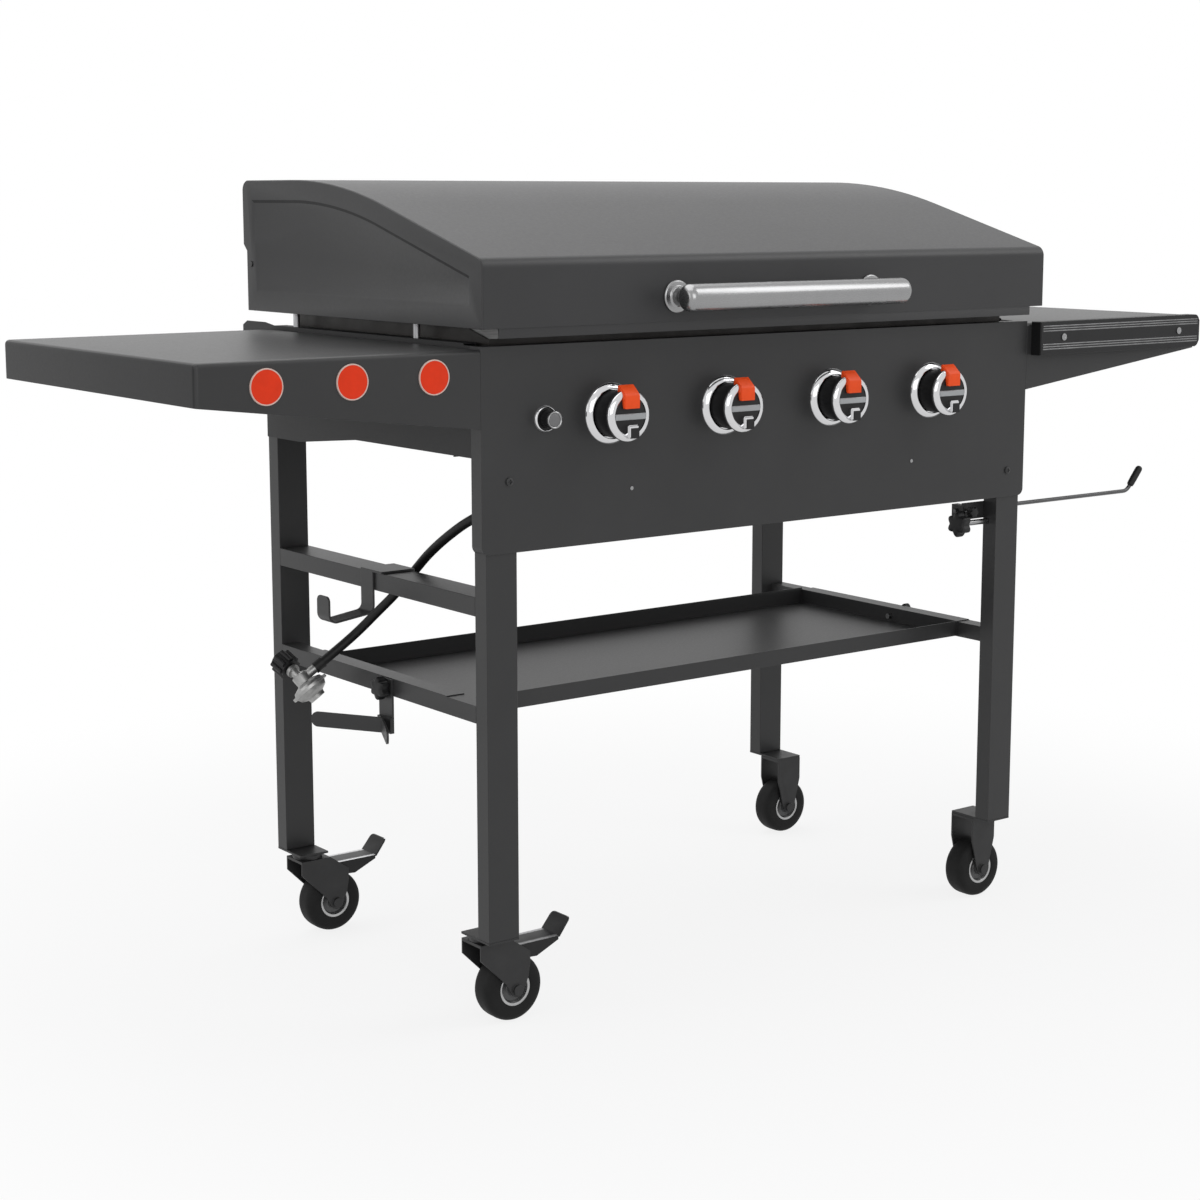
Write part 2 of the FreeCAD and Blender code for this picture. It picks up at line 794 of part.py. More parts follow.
def make_manifold():
    """Tube with a capped right end, lugs to the inner front wall and an elbow block for the hose."""
    start = (manifold_left, manifold_y, manifold_z)
    end = (manifold_right, manifold_y, manifold_z)
    tube = rod_between(start, end, manifold_radius)
    block_half = elbow_size / 2 + 1
    block = box(manifold_left - block_half, manifold_left + block_half, manifold_y - block_half, manifold_y + block_half,
                manifold_z - block_half, manifold_z + block_half)
    nipple = rod_between((manifold_left, manifold_y, manifold_z - block_half),
                         (manifold_left, manifold_y, hose_exit[2]), hose_radius + 1.5)
    pieces = [tube, block, nipple]
    for x in (-200, 200):
        pieces.append(box(x, x + 14, manifold_y, inner_front_wall, manifold_z - 5, manifold_z + 5))
    body = fuse_all(pieces)
    channel_end = (manifold_right - 4, manifold_y, manifold_z)
    body = body.cut(rod_between(start, channel_end, manifold_radius - manifold_wall))
    for x in knob_places:
        neck = rod_between((x, manifold_y, manifold_z), (x, manifold_y, knob_z), valve_width / 4 + running_gap)
        body = body.cut(neck)
    return body


nodes["gas_manifold"] = make_manifold()


# Burners: closed tubes with a mouth that takes the jet, each standing on a saddle on the heat shield
def make_burner(x):
    tube = rod_between((x, burner_front, knob_z), (x, burner_back, knob_z), burner_radius)
    hollow = rod_between((x, burner_front + 8, knob_z), (x, burner_back - burner_wall, knob_z), burner_radius - burner_wall)
    mouth = rod_between((x, burner_front - 1, knob_z), (x, burner_front + 9, knob_z), jet_radius + 4)
    shutter = box(x - 4, x + 4, burner_front + 2, burner_front + 6, knob_z - burner_radius - 1, knob_z - burner_radius + 12)
    saddle_y = burner_back - 30
    foot = box(x - 8, x + 8, saddle_y, saddle_y + box_sheet, shield_height + tray_sheet, knob_z - burner_radius / 2)
    return group([tube.cut(hollow).cut(mouth).cut(shutter), foot.cut(tube)])


nodes["burners"] = group([make_burner(x) for x in knob_places])


def make_electrode(x):
    """Ceramic spark electrode beside the burner, held in the inner front wall."""
    y0 = inner_front_wall + box_sheet
    side = x + burner_radius + electrode_gap
    joint = y0 + electrode_ceramic
    ceramic = rod_between((side, y0, knob_z), (side, joint, knob_z), electrode_radius)
    tip = rod_between((side, joint, knob_z), (side, y0 + electrode_length, knob_z), electrode_radius / 3.5)
    return ceramic.fuse(tip)


nodes["igniter_electrodes"] = group([make_electrode(x) for x in knob_places])


# Igniter: housing clamped in the panel and a push button in its bore
def make_igniter_housing():
    barrel = igniter_ring_radius - 3
    depth = igniter_barrel_depth
    profile = [(0, depth), (barrel, depth), (barrel, 0), (igniter_ring_radius, 0), (igniter_ring_radius, -3),
               (igniter_ring_radius - 1.5, -5), (igniter_button_radius + running_gap, -5),
               (igniter_button_radius + running_gap, igniter_bore_depth), (0, igniter_bore_depth)]
    return revolve_y(profile, igniter_x, igniter_z)


def make_igniter_button():
    front = -igniter_projection
    back = igniter_bore_depth - igniter_travel - 1
    profile = [(0, back), (igniter_button_radius, back), (igniter_button_radius, front + 2),
               (igniter_button_radius - 2, front), (0, front)]
    return revolve_y(profile, igniter_x, igniter_z)


nodes["igniter_housing"] = make_igniter_housing()
nodes["igniter_button"] = make_igniter_button()


# Hood outline in the YZ plane, walked from the front bottom edge over the top to the back
slope = math.radians(hood_slope)
brow_end_z = hood_top
brow_start_z = brow_end_z - hood_brow * (1 - math.cos(slope))
brow_start_y = hood_front + (brow_start_z - hood_crease) / math.tan(slope)
brow_end_y = brow_start_y + hood_brow * math.sin(slope)
brow_mid_y = brow_end_y - hood_brow * math.sin(slope / 2)
brow_mid_z = brow_end_z - hood_brow * (1 - math.cos(slope / 2))


def hood_outline(x):
    """Closed wire of the hood's side view at x."""
    step_y = hood_back - hood_step
    step_z = hood_back_bottom
    edges = [
        Part.makeLine(V(x, hood_front, hood_bottom), V(x, hood_front, hood_crease)),
        Part.makeLine(V(x, hood_front, hood_crease), V(x, brow_start_y, brow_start_z)),
        Part.Arc(V(x, brow_start_y, brow_start_z), V(x, brow_mid_y, brow_mid_z), V(x, brow_end_y, brow_end_z)).toShape(),
        Part.makeLine(V(x, brow_end_y, brow_end_z), V(x, hood_back, hood_top)),
        Part.makeLine(V(x, hood_back, hood_top), V(x, hood_back, step_z)),
        Part.makeLine(V(x, hood_back, step_z), V(x, step_y, step_z - hood_step)),
        Part.makeLine(V(x, step_y, step_z - hood_step), V(x, step_y, hood_bottom)),
        Part.makeLine(V(x, step_y, hood_bottom), V(x, hood_front, hood_bottom)),
    ]
    return Part.Wire(edges)


def rounded_hood_block(x0, x1):
    """Solid hood between two planes, its crease, rear top and rear bottom corners rounded."""
    block = Part.Face(hood_outline(x0)).extrude(V(x1 - x0, 0, 0))
    corners = []
    for edge in block.Edges:
        limits = edge.BoundBox
        across = limits.XLength > abs(x1 - x0) * 0.9
        crease = abs(limits.YMin - hood_front) < 0.5 and abs(limits.ZMin - hood_crease) < 0.5
        rear_top = abs(limits.YMin - hood_back) < 0.5 and abs(limits.ZMin - hood_top) < 0.5
        if across and (crease or rear_top):
            corners.append(edge)
    return block.makeFillet(hood_corner, corners)


def shrunk_hood_block(x0, x1):
    """The same block one sheet smaller all round."""
    full = rounded_hood_block(x0, x1)
    side_face = [f for f in full.Faces if f.BoundBox.XLength < 0.01 and abs(f.BoundBox.XMin - x0) < 0.01][0]
    inner = side_face.OuterWire.makeOffset2D(-hood_sheet)
    return Part.Face(inner).extrude(V(x1 - x0, 0, 0))


end_sheet_x = hood_half_width - hood_sheet


def make_hood_shell():
    """Folded sheet: front, slope, top and upper back, a hem behind the front edge and two hinge ears."""
    outer = rounded_hood_block(-end_sheet_x, end_sheet_x)
    hollow = shrunk_hood_block(-end_sheet_x, end_sheet_x)
    shell = outer.cut(hollow)
    inner_front = hood_front + hood_sheet
    bottom = box(-end_sheet_x - 1, end_sheet_x + 1, inner_front, hood_back + 1, hood_bottom - 1, hood_bottom + hood_sheet + 1)
    lower_back = box(-end_sheet_x - 1, end_sheet_x + 1, hinge_y - 60, hood_back + 1, hood_bottom - 1, hood_back_bottom)
    shell = shell.cut(bottom).cut(lower_back)
    hem_end = hood_half_width - hood_hem_inset
    hem = box(-hem_end, hem_end, inner_front, inner_front + hood_sheet,
              hood_bottom - hood_hem, hood_bottom + hood_hem)
    ears = []
    for side in (-1, 1):
        x0 = side * (hinge_x - strap_sheet)
        root_y = hood_back - hood_sheet
        outline = [
            (x0, root_y, hood_back_bottom + 34),
            (x0, root_y, hood_back_bottom),
            (x0, hinge_y + hinge_ear_radius, hinge_z),
            (x0, hinge_y - hinge_ear_radius, hinge_z),
            (x0, hinge_y - hinge_ear_radius, hood_back_bottom + 34),
        ]
        ear = prism(outline, (side * strap_sheet, 0, 0))
        ear = ear.fuse(rod_between((x0, hinge_y, hinge_z), (side * hinge_x, hinge_y, hinge_z), hinge_ear_radius))
        hole = rod_between((x0 - side, hinge_y, hinge_z), (side * (hinge_x + 1), hinge_y, hinge_z),
                           hinge_pin_radius + running_gap)
        ears.append(ear.cut(hole))
    return fuse_all([shell, hem] + ears)


nodes["hood_shell"] = make_hood_shell()


def end_wire(x, inset):
    """Outline of the hood at x, moved inwards by the inset."""
    face = [f for f in rounded_hood_block(x, x + 1).Faces if f.BoundBox.XMax < x + 0.01][0]
    return face.OuterWire.makeOffset2D(-inset)


def make_hood_end():
    """End plate with softened edge, a panel pressed inwards and a bottom lip that rests on the pins."""
    plate = rounded_hood_block(end_sheet_x, hood_half_width)
    rim = []
    for edge in plate.Edges:
        limits = edge.BoundBox
        if limits.XMin > hood_half_width - 0.01 and limits.ZMax > hood_bottom + 1:
            rim.append(edge)
    plate = plate.makeChamfer(hood_sheet * 0.6, rim)
    deep = pressing_border + pressing_slope
    inner_x = hood_half_width - pressing_depth
    dish = Part.makeLoft([end_wire(hood_half_width, pressing_border), end_wire(inner_x, deep)], True, True)
    back = Part.makeLoft([end_wire(end_sheet_x, pressing_border), end_wire(inner_x - hood_sheet, deep)], True, True)
    cap = plate.fuse(back).cut(dish)
    lip_back = hood_back - hood_step - hood_sheet
    cap = cap.fuse(box(end_sheet_x - rest_lip, end_sheet_x, hood_front + 3 * hood_sheet, lip_back,
                       hood_bottom, hood_bottom + hood_sheet))
    start = (hood_half_width - pressing_depth - 3 * hood_sheet, hinge_y, hinge_z)
    hole = rod_between(start, (hood_half_width + 1, hinge_y, hinge_z), hinge_pin_radius + running_gap)
    return cap.cut(hole).removeSplitter()


nodes["hood_right_end"] = make_hood_end()
nodes["hood_left_end"] = mirrored(make_hood_end())


# Hood handle: tube on two turned posts
def make_handle():
    handle_y = hood_front - handle_reach
    start = (handle_shift - handle_length / 2, handle_y, handle_z)
    end = (handle_shift + handle_length / 2, handle_y, handle_z)
    shell = tube_between(start, end, handle_radius, handle_radius - handle_wall)
    caps = []
    for point, way in ((start, 1), (end, -1)):
        inner = (point[0] + way * handle_radius, point[1], point[2])
        caps.append(rod_between(point, inner, handle_radius - handle_wall))
    tube = fuse_all([shell] + caps)
    rims = []
    for edge in tube.Edges:
        limits = edge.BoundBox
        outer_rim = limits.ZLength > 2 * handle_radius - 0.1 and limits.XLength < 0.01
        if outer_rim:
            rims.append(edge)
    tube = tube.makeFillet(handle_radius * 0.6, rims)
    posts = []
    for side in (-1, 1):
        x = handle_shift + side * post_spacing / 2
        flange_front = hood_front - post_flange
        profile = [(0, hood_front), (post_flange_radius, hood_front), (post_flange_radius, flange_front + 1),
                   (post_flange_radius - 1, flange_front), (post_radius + 2, flange_front), (post_radius, flange_front - 3),
                   (post_radius, handle_y), (0, handle_y)]
        post = revolve_y(profile, x, handle_z)
        keep_out = rod_between(start, end, handle_radius + running_gap)
        posts.append(post.cut(keep_out))
    return group([tube] + posts)


nodes["hood_handle"] = make_handle()


# Hood hinges: upright brackets on the back wall and one pin right across, through the ears and end caps
def make_hinge_brackets():
    pieces = []
    base_low = ledge_top - 50
    for side in (-1, 1):
        x0 = side * (hinge_x + hinge_play)
        x1 = side * (hinge_x + hinge_play + strap_sheet)
        foot_x = side * (hinge_x + hinge_play + 30)
        upright = [
            (x0, back_wall_back, base_low),
            (x0, back_wall_back, panel_top - 4),
            (x0, hinge_y - hinge_ear_radius, hinge_z - 50),
            (x0, hinge_y - hinge_ear_radius, hinge_z),
            (x0, hinge_y + hinge_ear_radius, hinge_z),
            (x0, hinge_y + hinge_ear_radius, hinge_z - 60),
            (x0, back_wall_back + strap_sheet + 10, base_low),
        ]
        ear = prism(upright, (x1 - x0, 0, 0))
        ear = ear.fuse(rod_between((x0, hinge_y, hinge_z), (x1, hinge_y, hinge_z), hinge_ear_radius))
        foot = box(x0, foot_x, back_wall_back, back_wall_back + strap_sheet, base_low, panel_top - 4)
        hole = rod_between((x0 - side, hinge_y, hinge_z), (x1 + side, hinge_y, hinge_z), hinge_pin_radius)
        pieces.append(fuse_all([ear, foot]).cut(hole))
    pin_end = hood_half_width + 1.5
    pieces.append(rod_between((-pin_end, hinge_y, hinge_z), (pin_end, hinge_y, hinge_z), hinge_pin_radius))
    return group(pieces)


nodes["hinge_brackets"] = make_hinge_brackets()


# Rest pins under the hood's end caps, standing on the rails of the burner box
def make_rest_pins():
    pins = []
    x = box_side - rest_pin_radius - 3
    for side in (-1, 1):
        for y in (rest_pin_front, rest_pin_rear):
            top = hood_bottom - rest_gap
            pins.append(rod_between((side * x, y, panel_top + box_rail_rise), (side * x, y, top), rest_pin_radius))
    return group(pins)


nodes["hood_rest_pins"] = make_rest_pins()


# Gas bottle hook: strap bent over the upper crossbar, arm out to the side and an upturned lip
def make_tank_hook():
    t = strap_sheet
    y0 = hook_y - hook_width / 2
    bar_top = upper_bar_bottom + upper_bar_height
    outer = -leg_outer
    inner = -leg_inner
    low = upper_bar_bottom - hook_drop
    lip_x = outer - hook_reach
    lip_low = low - hook_sag
    outline = [
        (outer, y0, bar_top), (outer, y0, bar_top + t), (outer - t, y0, bar_top + t),
        (outer - t, y0, low + t), (lip_x, y0, lip_low + t), (lip_x, y0, lip_low + hook_lip),
        (lip_x - t, y0, lip_low + hook_lip), (lip_x - t, y0, lip_low), (outer, y0, low),
    ]
    strap = prism(outline, (0, hook_width, 0))
    inside = ((outer - t, low + t), (lip_x, lip_low + t))
    outside = ((outer, low), (lip_x - t, lip_low))
    for corners, radius in ((inside, hook_bend), (outside, hook_bend + t)):
        bends = []
        for edge in strap.Edges:
            middle = edge.BoundBox.Center
            near = min(math.hypot(middle.x - x, middle.z - z) for x, z in corners)
            if edge.BoundBox.YLength > hook_width - 0.1 and near < 0.1:
                bends.append(edge)
        strap = strap.makeFillet(radius, bends)
    tip_corners = []
    for edge in strap.Edges:
        limits = edge.BoundBox
        if limits.ZMin > lip_low + hook_lip - 0.1 and limits.XMax < lip_x + 0.1 and limits.YLength < 0.1:
            tip_corners.append(edge)
    strap = strap.makeFillet(hook_width * 0.25, tip_corners)
    y1 = hook_y + hook_width / 2
    saddle = box(outer - t, inner + t, y1 - hook_saddle_width, y1, bar_top, bar_top + t)
    tongue = box(inner, inner + t, y1 - hook_saddle_width, y1, upper_bar_bottom, bar_top + t)
    return fuse_all([strap, saddle, tongue])


nodes["tank_hook"] = make_tank_hook()


# Gas bottle bracket: strap on the lower crossbar with a V cradle for the bottle's foot ring
def make_tank_bracket():
    t = strap_sheet
    face = -leg_outer
    half = cradle_strap_width / 2
    strap = box(face - t, face, cradle_y - half, cradle_y + half, cradle_bottom, lower_bar_bottom + bar_height)
    arms = []
    for way, length, angle in ((1, cradle_rear_arm, cradle_angle), (-1, cradle_front_arm, cradle_front_angle)):
        turn = math.radians(angle)
        dx = -math.sin(turn)
        dy = way * math.cos(turn)
        nx = -dy * way
        ny = dx * way
        root_y = cradle_y - way * half / 2
        outline = [
            (face - t, root_y, cradle_bottom),
            (face - t + dx * length, root_y + dy * length, cradle_bottom),
            (face - t + dx * length + nx * t, root_y + dy * length + ny * t, cradle_bottom),
            (face - t + nx * t, root_y + ny * t, cradle_bottom),
        ]
        arm = prism(outline, (0, 0, cradle_height))
        tips = []
        for edge in arm.Edges:
            middle = edge.BoundBox.Center
            at_tip = abs(middle.y - root_y) > length * math.cos(turn) - t
            if edge.BoundBox.ZLength < 0.1 and at_tip and edge.Length < 2 * t:
                tips.append(edge)
        arms.append(arm.makeFillet(cradle_height * 0.48, tips))
    bridge = box(face - 2 * t, face - t, cradle_y - half, cradle_y + half, cradle_bottom, cradle_bottom + cradle_height)
    body = fuse_all([strap, bridge] + arms)
    return body.cut(stud_hole(face - t - 1, face + 1, side_knob_z))


nodes["tank_bracket"] = make_tank_bracket()


# Star knobs: lobed head on a stud
def star_head(radius, thickness, base, along):
    """Lobed head: a round core with a ring of lobes, standing on the base point."""
    lobe = radius * 0.3
    core = turned([(0, 0), (radius - lobe, 0), (radius - lobe, thickness - 2), (radius - lobe - 2, thickness), (0, thickness)],
                  (0, 0, 0), (0, 0, 1))
    for index in range(star_lobes):
        angle = 2 * math.pi * index / star_lobes
        centre = V((radius - lobe) * math.cos(angle), (radius - lobe) * math.sin(angle), 2)
        core = core.fuse(Part.makeCylinder(lobe, thickness - 4, centre))
    core.Placement = FreeCAD.Placement(V(*base), FreeCAD.Rotation(V(0, 0, 1), V(*along)))
    return core


def make_side_knob(side, washer, z):
    """Star knob outside a lower crossbar; its stud runs through the bar and the shelf's side wall."""
    seat = side * (leg_outer + washer)
    end = side * (bar_inner - tray_sheet - 6)
    head = star_head(star_radius, star_thickness, (seat, cradle_y, z), (side, 0, 0))
    stud = rod_between((seat, cradle_y, z), (end, cradle_y, z), stud_radius)
    return head.fuse(stud)


nodes["bracket_knob"] = make_side_knob(-1, strap_sheet, side_knob_z)
nodes["shelf_knob"] = make_side_knob(1, 0, right_knob_z)


def make_leg_knob():
    head_face = leg_inner - leg_knob_gap
    centre = (head_face, leg_knob_y, leg_knob_z)
    head = star_head(leg_knob_radius, star_thickness, centre, (-1, 0, 0))
    stud = rod_between(centre, (leg_inner + leg_wall + 8, leg_knob_y, leg_knob_z), stud_radius)
    return head.fuse(stud)


nodes["leg_knob"] = make_leg_knob()


# Bag rod: slides through two guides behind the right front leg, held by a small lock knob
def make_rod_bracket():
    z0 = rod_z - bracket_height / 2
    z1 = rod_z + bracket_height / 2
    plate_back_face = front_leg_back + strap_sheet
    pieces = [box(bracket_left, bracket_right, front_leg_back, plate_back_face, z0, z1)]
    guide_back = rod_y + rod_radius + 6
    for x in (bracket_left, bracket_right - guide_width):
        pieces.append(box(x, x + guide_width, front_leg_back, guide_back, rod_z - 9, rod_z + 9))
    body = fuse_all(pieces)
    bore = rod_between((bracket_left - 1, rod_y, rod_z), (bracket_right + 1, rod_y, rod_z), rod_radius + running_gap)
    stud_x = bracket_left + guide_width / 2
    hole = rod_between((stud_x, front_leg_back - 1, rod_z), (stud_x, rod_y, rod_z), rod_radius + running_gap)
    return body.cut(bore).cut(hole)


nodes["rod_bracket"] = make_rod_bracket()


def make_bag_rod():
    """Straight rod with a tangent bend up to a sleeved tip."""
    turn = math.radians(rod_tip_angle)
    bend_start = V(rod_bend, rod_y, rod_z)
    centre = V(rod_bend, rod_y, rod_z + rod_bend_radius)
    bend_mid = centre + V(math.sin(turn / 2), 0, -math.cos(turn / 2)) * rod_bend_radius
    bend_end = centre + V(math.sin(turn), 0, -math.cos(turn)) * rod_bend_radius
    tip = bend_end + V(math.cos(turn), 0, math.sin(turn)) * rod_tip_length
    path = Part.Wire([
        Part.makeLine(V(rod_left, rod_y, rod_z), bend_start),
        Part.Arc(bend_start, bend_mid, bend_end).toShape(),
        Part.makeLine(bend_end, tip),
    ])
    section = Part.Wire(Part.makeCircle(rod_radius, V(rod_left, rod_y, rod_z), V(1, 0, 0)))
    rod = path.makePipeShell([section], True, False)
    along = (math.cos(turn), 0, math.sin(turn))
    sleeve_start = moved((tip.x, tip.y, tip.z), along, -sleeve_length)
    sleeve = turned([(rod_radius, 0), (sleeve_radius, 0), (sleeve_radius, sleeve_length), (sleeve_radius - 2, sleeve_length + 2),
                     (0, sleeve_length + 2), (0, sleeve_length), (rod_radius, sleeve_length)], sleeve_start, along)
    return group([rod, sleeve])


nodes["bag_rod"] = make_bag_rod()


def make_lock_knob():
    stud_x = bracket_left + guide_width / 2
    head_back = front_leg_back - 7
    head = star_head(lock_knob_radius, lock_knob_thickness, (stud_x, head_back, rod_z), (0, -1, 0))
    stud = rod_between((stud_x, head_back, rod_z), (stud_x, rod_y - rod_radius - rest_gap, rod_z), rod_radius)
    return head.fuse(stud)


nodes["rod_lock_knob"] = make_lock_knob()


# Gas hose: straight runs joined by tangent arcs, as round as their runs allow
def hose_path(points):
    corners = [V(*p) for p in points]
    edges = []
    radii = []
    start = corners[0]
    for before, here, after in zip(corners, corners[1:], corners[2:]):
        into = (here - before).normalize()
        out = (after - here).normalize()
        turn = math.acos(max(-1.0, min(1.0, into.dot(out))))
        run = 0.45 * min((here - before).Length, (after - here).Length)
        radius = run / math.tan(turn / 2)
        radii.append(radius)
        arc_start = here - into * run
        arc_end = here + out * run
        to_centre = (out - into).normalize()
        arc_mid = here + to_centre * (radius / math.cos(turn / 2) - radius)
        edges.append(Part.LineSegment(start, arc_start).toShape())
        edges.append(Part.Arc(arc_start, arc_mid, arc_end).toShape())
        start = arc_end
    edges.append(Part.LineSegment(start, corners[-1]).toShape())
    return Part.Wire(edges), radii


def make_hose():
    path, radii = hose_path(hose_route)
    first = V(*hose_route[1]) - V(*hose_route[0])
    section = Part.Wire(Part.makeCircle(hose_radius, V(*hose_route[0]), first))
    hose = path.makePipeShell([section], True, False)
    print("hose length %.1f mm, bend radii %s" % (path.Length, " ".join("%.0f" % r for r in radii)))
    print("hose volume ratio %.4f" % (hose.Volume / (math.pi * hose_radius ** 2 * path.Length)))
    return hose


nodes["gas_hose"] = make_hose()


# Regulator: ferrule, outlet, body block, two dished housings with a clamped flange, and the inlet
hose_end = hose_route[-1]
end_run = V(*hose_route[-1]) - V(*hose_route[-2])
hose_way = (end_run.x, end_run.y, end_run.z)
block_centre = moved(hose_end, hose_way, regulator_reach)
dome_centre = moved(block_centre, regulator_axis, 16)


def make_regulator():
    ferrule = rod_between(hose_end, moved(hose_end, hose_way, ferrule_length), ferrule_radius)
    outlet = rod_between(moved(hose_end, hose_way, ferrule_length), block_centre, ferrule_radius - 2)
    r = regulator_radius
    profile = [(0, -24), (9, -24), (11, -22), (11, -10), (r - 6, -6), (r - 4, -2), (r, -2), (r, 2), (r - 4, 2), (r - 7, 8),
               (12, 12), (11, 17), (0, 17)]
    housing = turned(profile, dome_centre, regulator_axis)
    inlet = rod_between(block_centre, moved(block_centre, inlet_direction, 31), 6)
    collar = rod_between(moved(block_centre, inlet_direction, 17), moved(block_centre, inlet_direction, 22), 9)
    return group([housing, fuse_all([outlet, ferrule]).cut(housing), fuse_all([inlet, collar]).cut(housing)])


nodes["regulator"] = make_regulator()


def make_regulator_nut():
    """Lobed hand nut with an open socket, free to turn on the inlet."""
    base = moved(block_centre, inlet_direction, 24)
    lobe = 3.5
    body = turned([(6 + running_gap, 0), (nut_radius - lobe, 0), (nut_radius - lobe, nut_length), (nut_bore, nut_length),
                   (nut_bore, 9), (6 + running_gap, 9)], (0, 0, 0), (0, 0, 1))
    for index in range(8):
        angle = 2 * math.pi * index / 8
        centre = V((nut_radius - lobe) * math.cos(angle), (nut_radius - lobe) * math.sin(angle), 2)
        lobe_bar = Part.makeCylinder(lobe, nut_length - 4, centre)
        lobe_bar = lobe_bar.cut(Part.makeCylinder(nut_bore + 1, nut_length))
        body = body.fuse(lobe_bar)
    body.Placement = FreeCAD.Placement(V(*base), FreeCAD.Rotation(V(0, 0, 1), V(*inlet_direction)))
    return body


nodes["regulator_nut"] = make_regulator_nut()


# Casters: left pair swivel and have a brake pedal, right pair are fixed
leg_centre_x = leg_outer - leg_width / 2
front_leg_mid = front_leg_front + leg_depth / 2
rear_leg_mid = rear_leg_back - leg_depth / 2
swivel_plate_low = left_leg_bottom - caster_plate
fixed_plate_low = right_leg_bottom - caster_plate
race_low = swivel_plate_low - race_height
crown_low = race_low - fork_top
cheek_gap = wheel_width / 2 + fork_gap
fork_width = cheek_gap + fork_sheet
fixed_plate_length = front_leg_mid - front_leg_front + fixed_inset + fork_width
swivel_gap = 0.3
pivot_x = -leg_centre_x + fork_half_width - 6
pivot_z = crown_low - 13


def plate_at(side, front, length, low):
    """Top plate of a caster, flush with the leg's sides and reaching inwards along the depth."""
    x0 = side * leg_inner
    x1 = side * leg_outer
    if front:
        return box(x0, x1, front_leg_front, front_leg_front + length, low, low + caster_plate)
    return box(x0, x1, rear_leg_back - length, rear_leg_back, low, low + caster_plate)


def swivel_plate(front):
    x = -leg_centre_x
    y = front_leg_mid + swivel_inset if front else rear_leg_mid - swivel_inset
    plate = plate_at(-1, front, swivel_plate_length, swivel_plate_low)
    race = rod_between((x, y, race_low + swivel_gap), (x, y, swivel_plate_low), race_radius)
    king_pin = rod_between((x, y, crown_low - 3), (x, y, race_low + swivel_gap), 5)
    head = rod_between((x, y, crown_low - 6), (x, y, crown_low - swivel_gap), 8)
    return fuse_all([plate, race, king_pin, head])


nodes["caster_plates"] = group([
    swivel_plate(True),
    swivel_plate(False),
    plate_at(1, True, fixed_plate_length, fixed_plate_low),
    plate_at(1, False, fixed_plate_length, fixed_plate_low),
])


def axle_at(x, y):
    """Axle bolt with a head outside each cheek."""
    reach = fork_width + 4
    axle = rod_between((x, y - reach, wheel_radius), (x, y + reach, wheel_radius), axle_radius)
    heads = [rod_between((x, y - reach, wheel_radius), (x, y - reach + 4, wheel_radius), 7),
             rod_between((x, y + reach - 4, wheel_radius), (x, y + reach, wheel_radius), 7)]
    return [axle] + heads


def cheek_foot(x):
    """Rounded lower end of a cheek, as points round the axle from one side to the other."""
    angles = [math.radians(-15 - 150 * step / 8) for step in range(9)]
    return [(x + axle_boss * math.cos(a), wheel_radius + axle_boss * math.sin(a)) for a in angles]


def cheek_pair(points, y):
    """The same cheek outline on both sides of the wheel."""
    cheeks = []
    for side in (-1, 1):
        outline = [(px, y + side * cheek_gap, pz) for px, pz in points]
        cheeks.append(prism(outline, (0, side * fork_sheet, 0)))
    return cheeks


def swivel_fork(y):
    crown_x = -leg_centre_x
    axle_x = crown_x + swivel_trail
    r = race_radius
    points = [
        (crown_x - r, crown_low + fork_top), (crown_x + r + 4, crown_low + fork_top), (axle_x + 20, crown_low - 17),
        (axle_x + 20, wheel_radius + 32), (axle_x + 17, wheel_radius + 14),
    ] + cheek_foot(axle_x) + [(axle_x - 17, wheel_radius + 10), (crown_x - r, crown_low - 16)]
    crown = box(crown_x - r, crown_x + r + 4, y - fork_width, y + fork_width, crown_low, crown_low + fork_top)
    body = fuse_all([crown] + cheek_pair(points, y) + axle_at(axle_x, y))
    body = body.cut(rod_between((crown_x, y, crown_low - 1), (crown_x, y, race_low + 1), 5 + running_gap))
    pin = rod_between((pivot_x, y - fork_width, pivot_z), (pivot_x, y + fork_width, pivot_z), pedal_pin_radius)
    return body.fuse(pin)


front_swivel_y = front_leg_mid + swivel_inset
rear_swivel_y = rear_leg_mid - swivel_inset
nodes["front_left_fork"] = swivel_fork(front_swivel_y)
nodes["rear_left_fork"] = swivel_fork(rear_swivel_y)


def fixed_fork(y):
    """Square-shouldered channel with two straight cheeks that narrow to the axle."""
    x = leg_centre_x
    half = fork_half_width
    top = fixed_plate_low
    points = [(x - half, top), (x + half, top), (x + half, wheel_radius + 46), (x + 13, wheel_radius + 6)]
    points += cheek_foot(x) + [(x - 13, wheel_radius + 6), (x - half, wheel_radius + 46)]
    crown = box(x - half, x + half, y - fork_width, y + fork_width, top - fork_top, top)
    return fuse_all([crown] + cheek_pair(points, y) + axle_at(x, y))


front_fixed_y = front_leg_mid + fixed_inset
rear_fixed_y = rear_leg_mid - fixed_inset
nodes["fixed_forks"] = group([fixed_fork(front_fixed_y), fixed_fork(rear_fixed_y)])


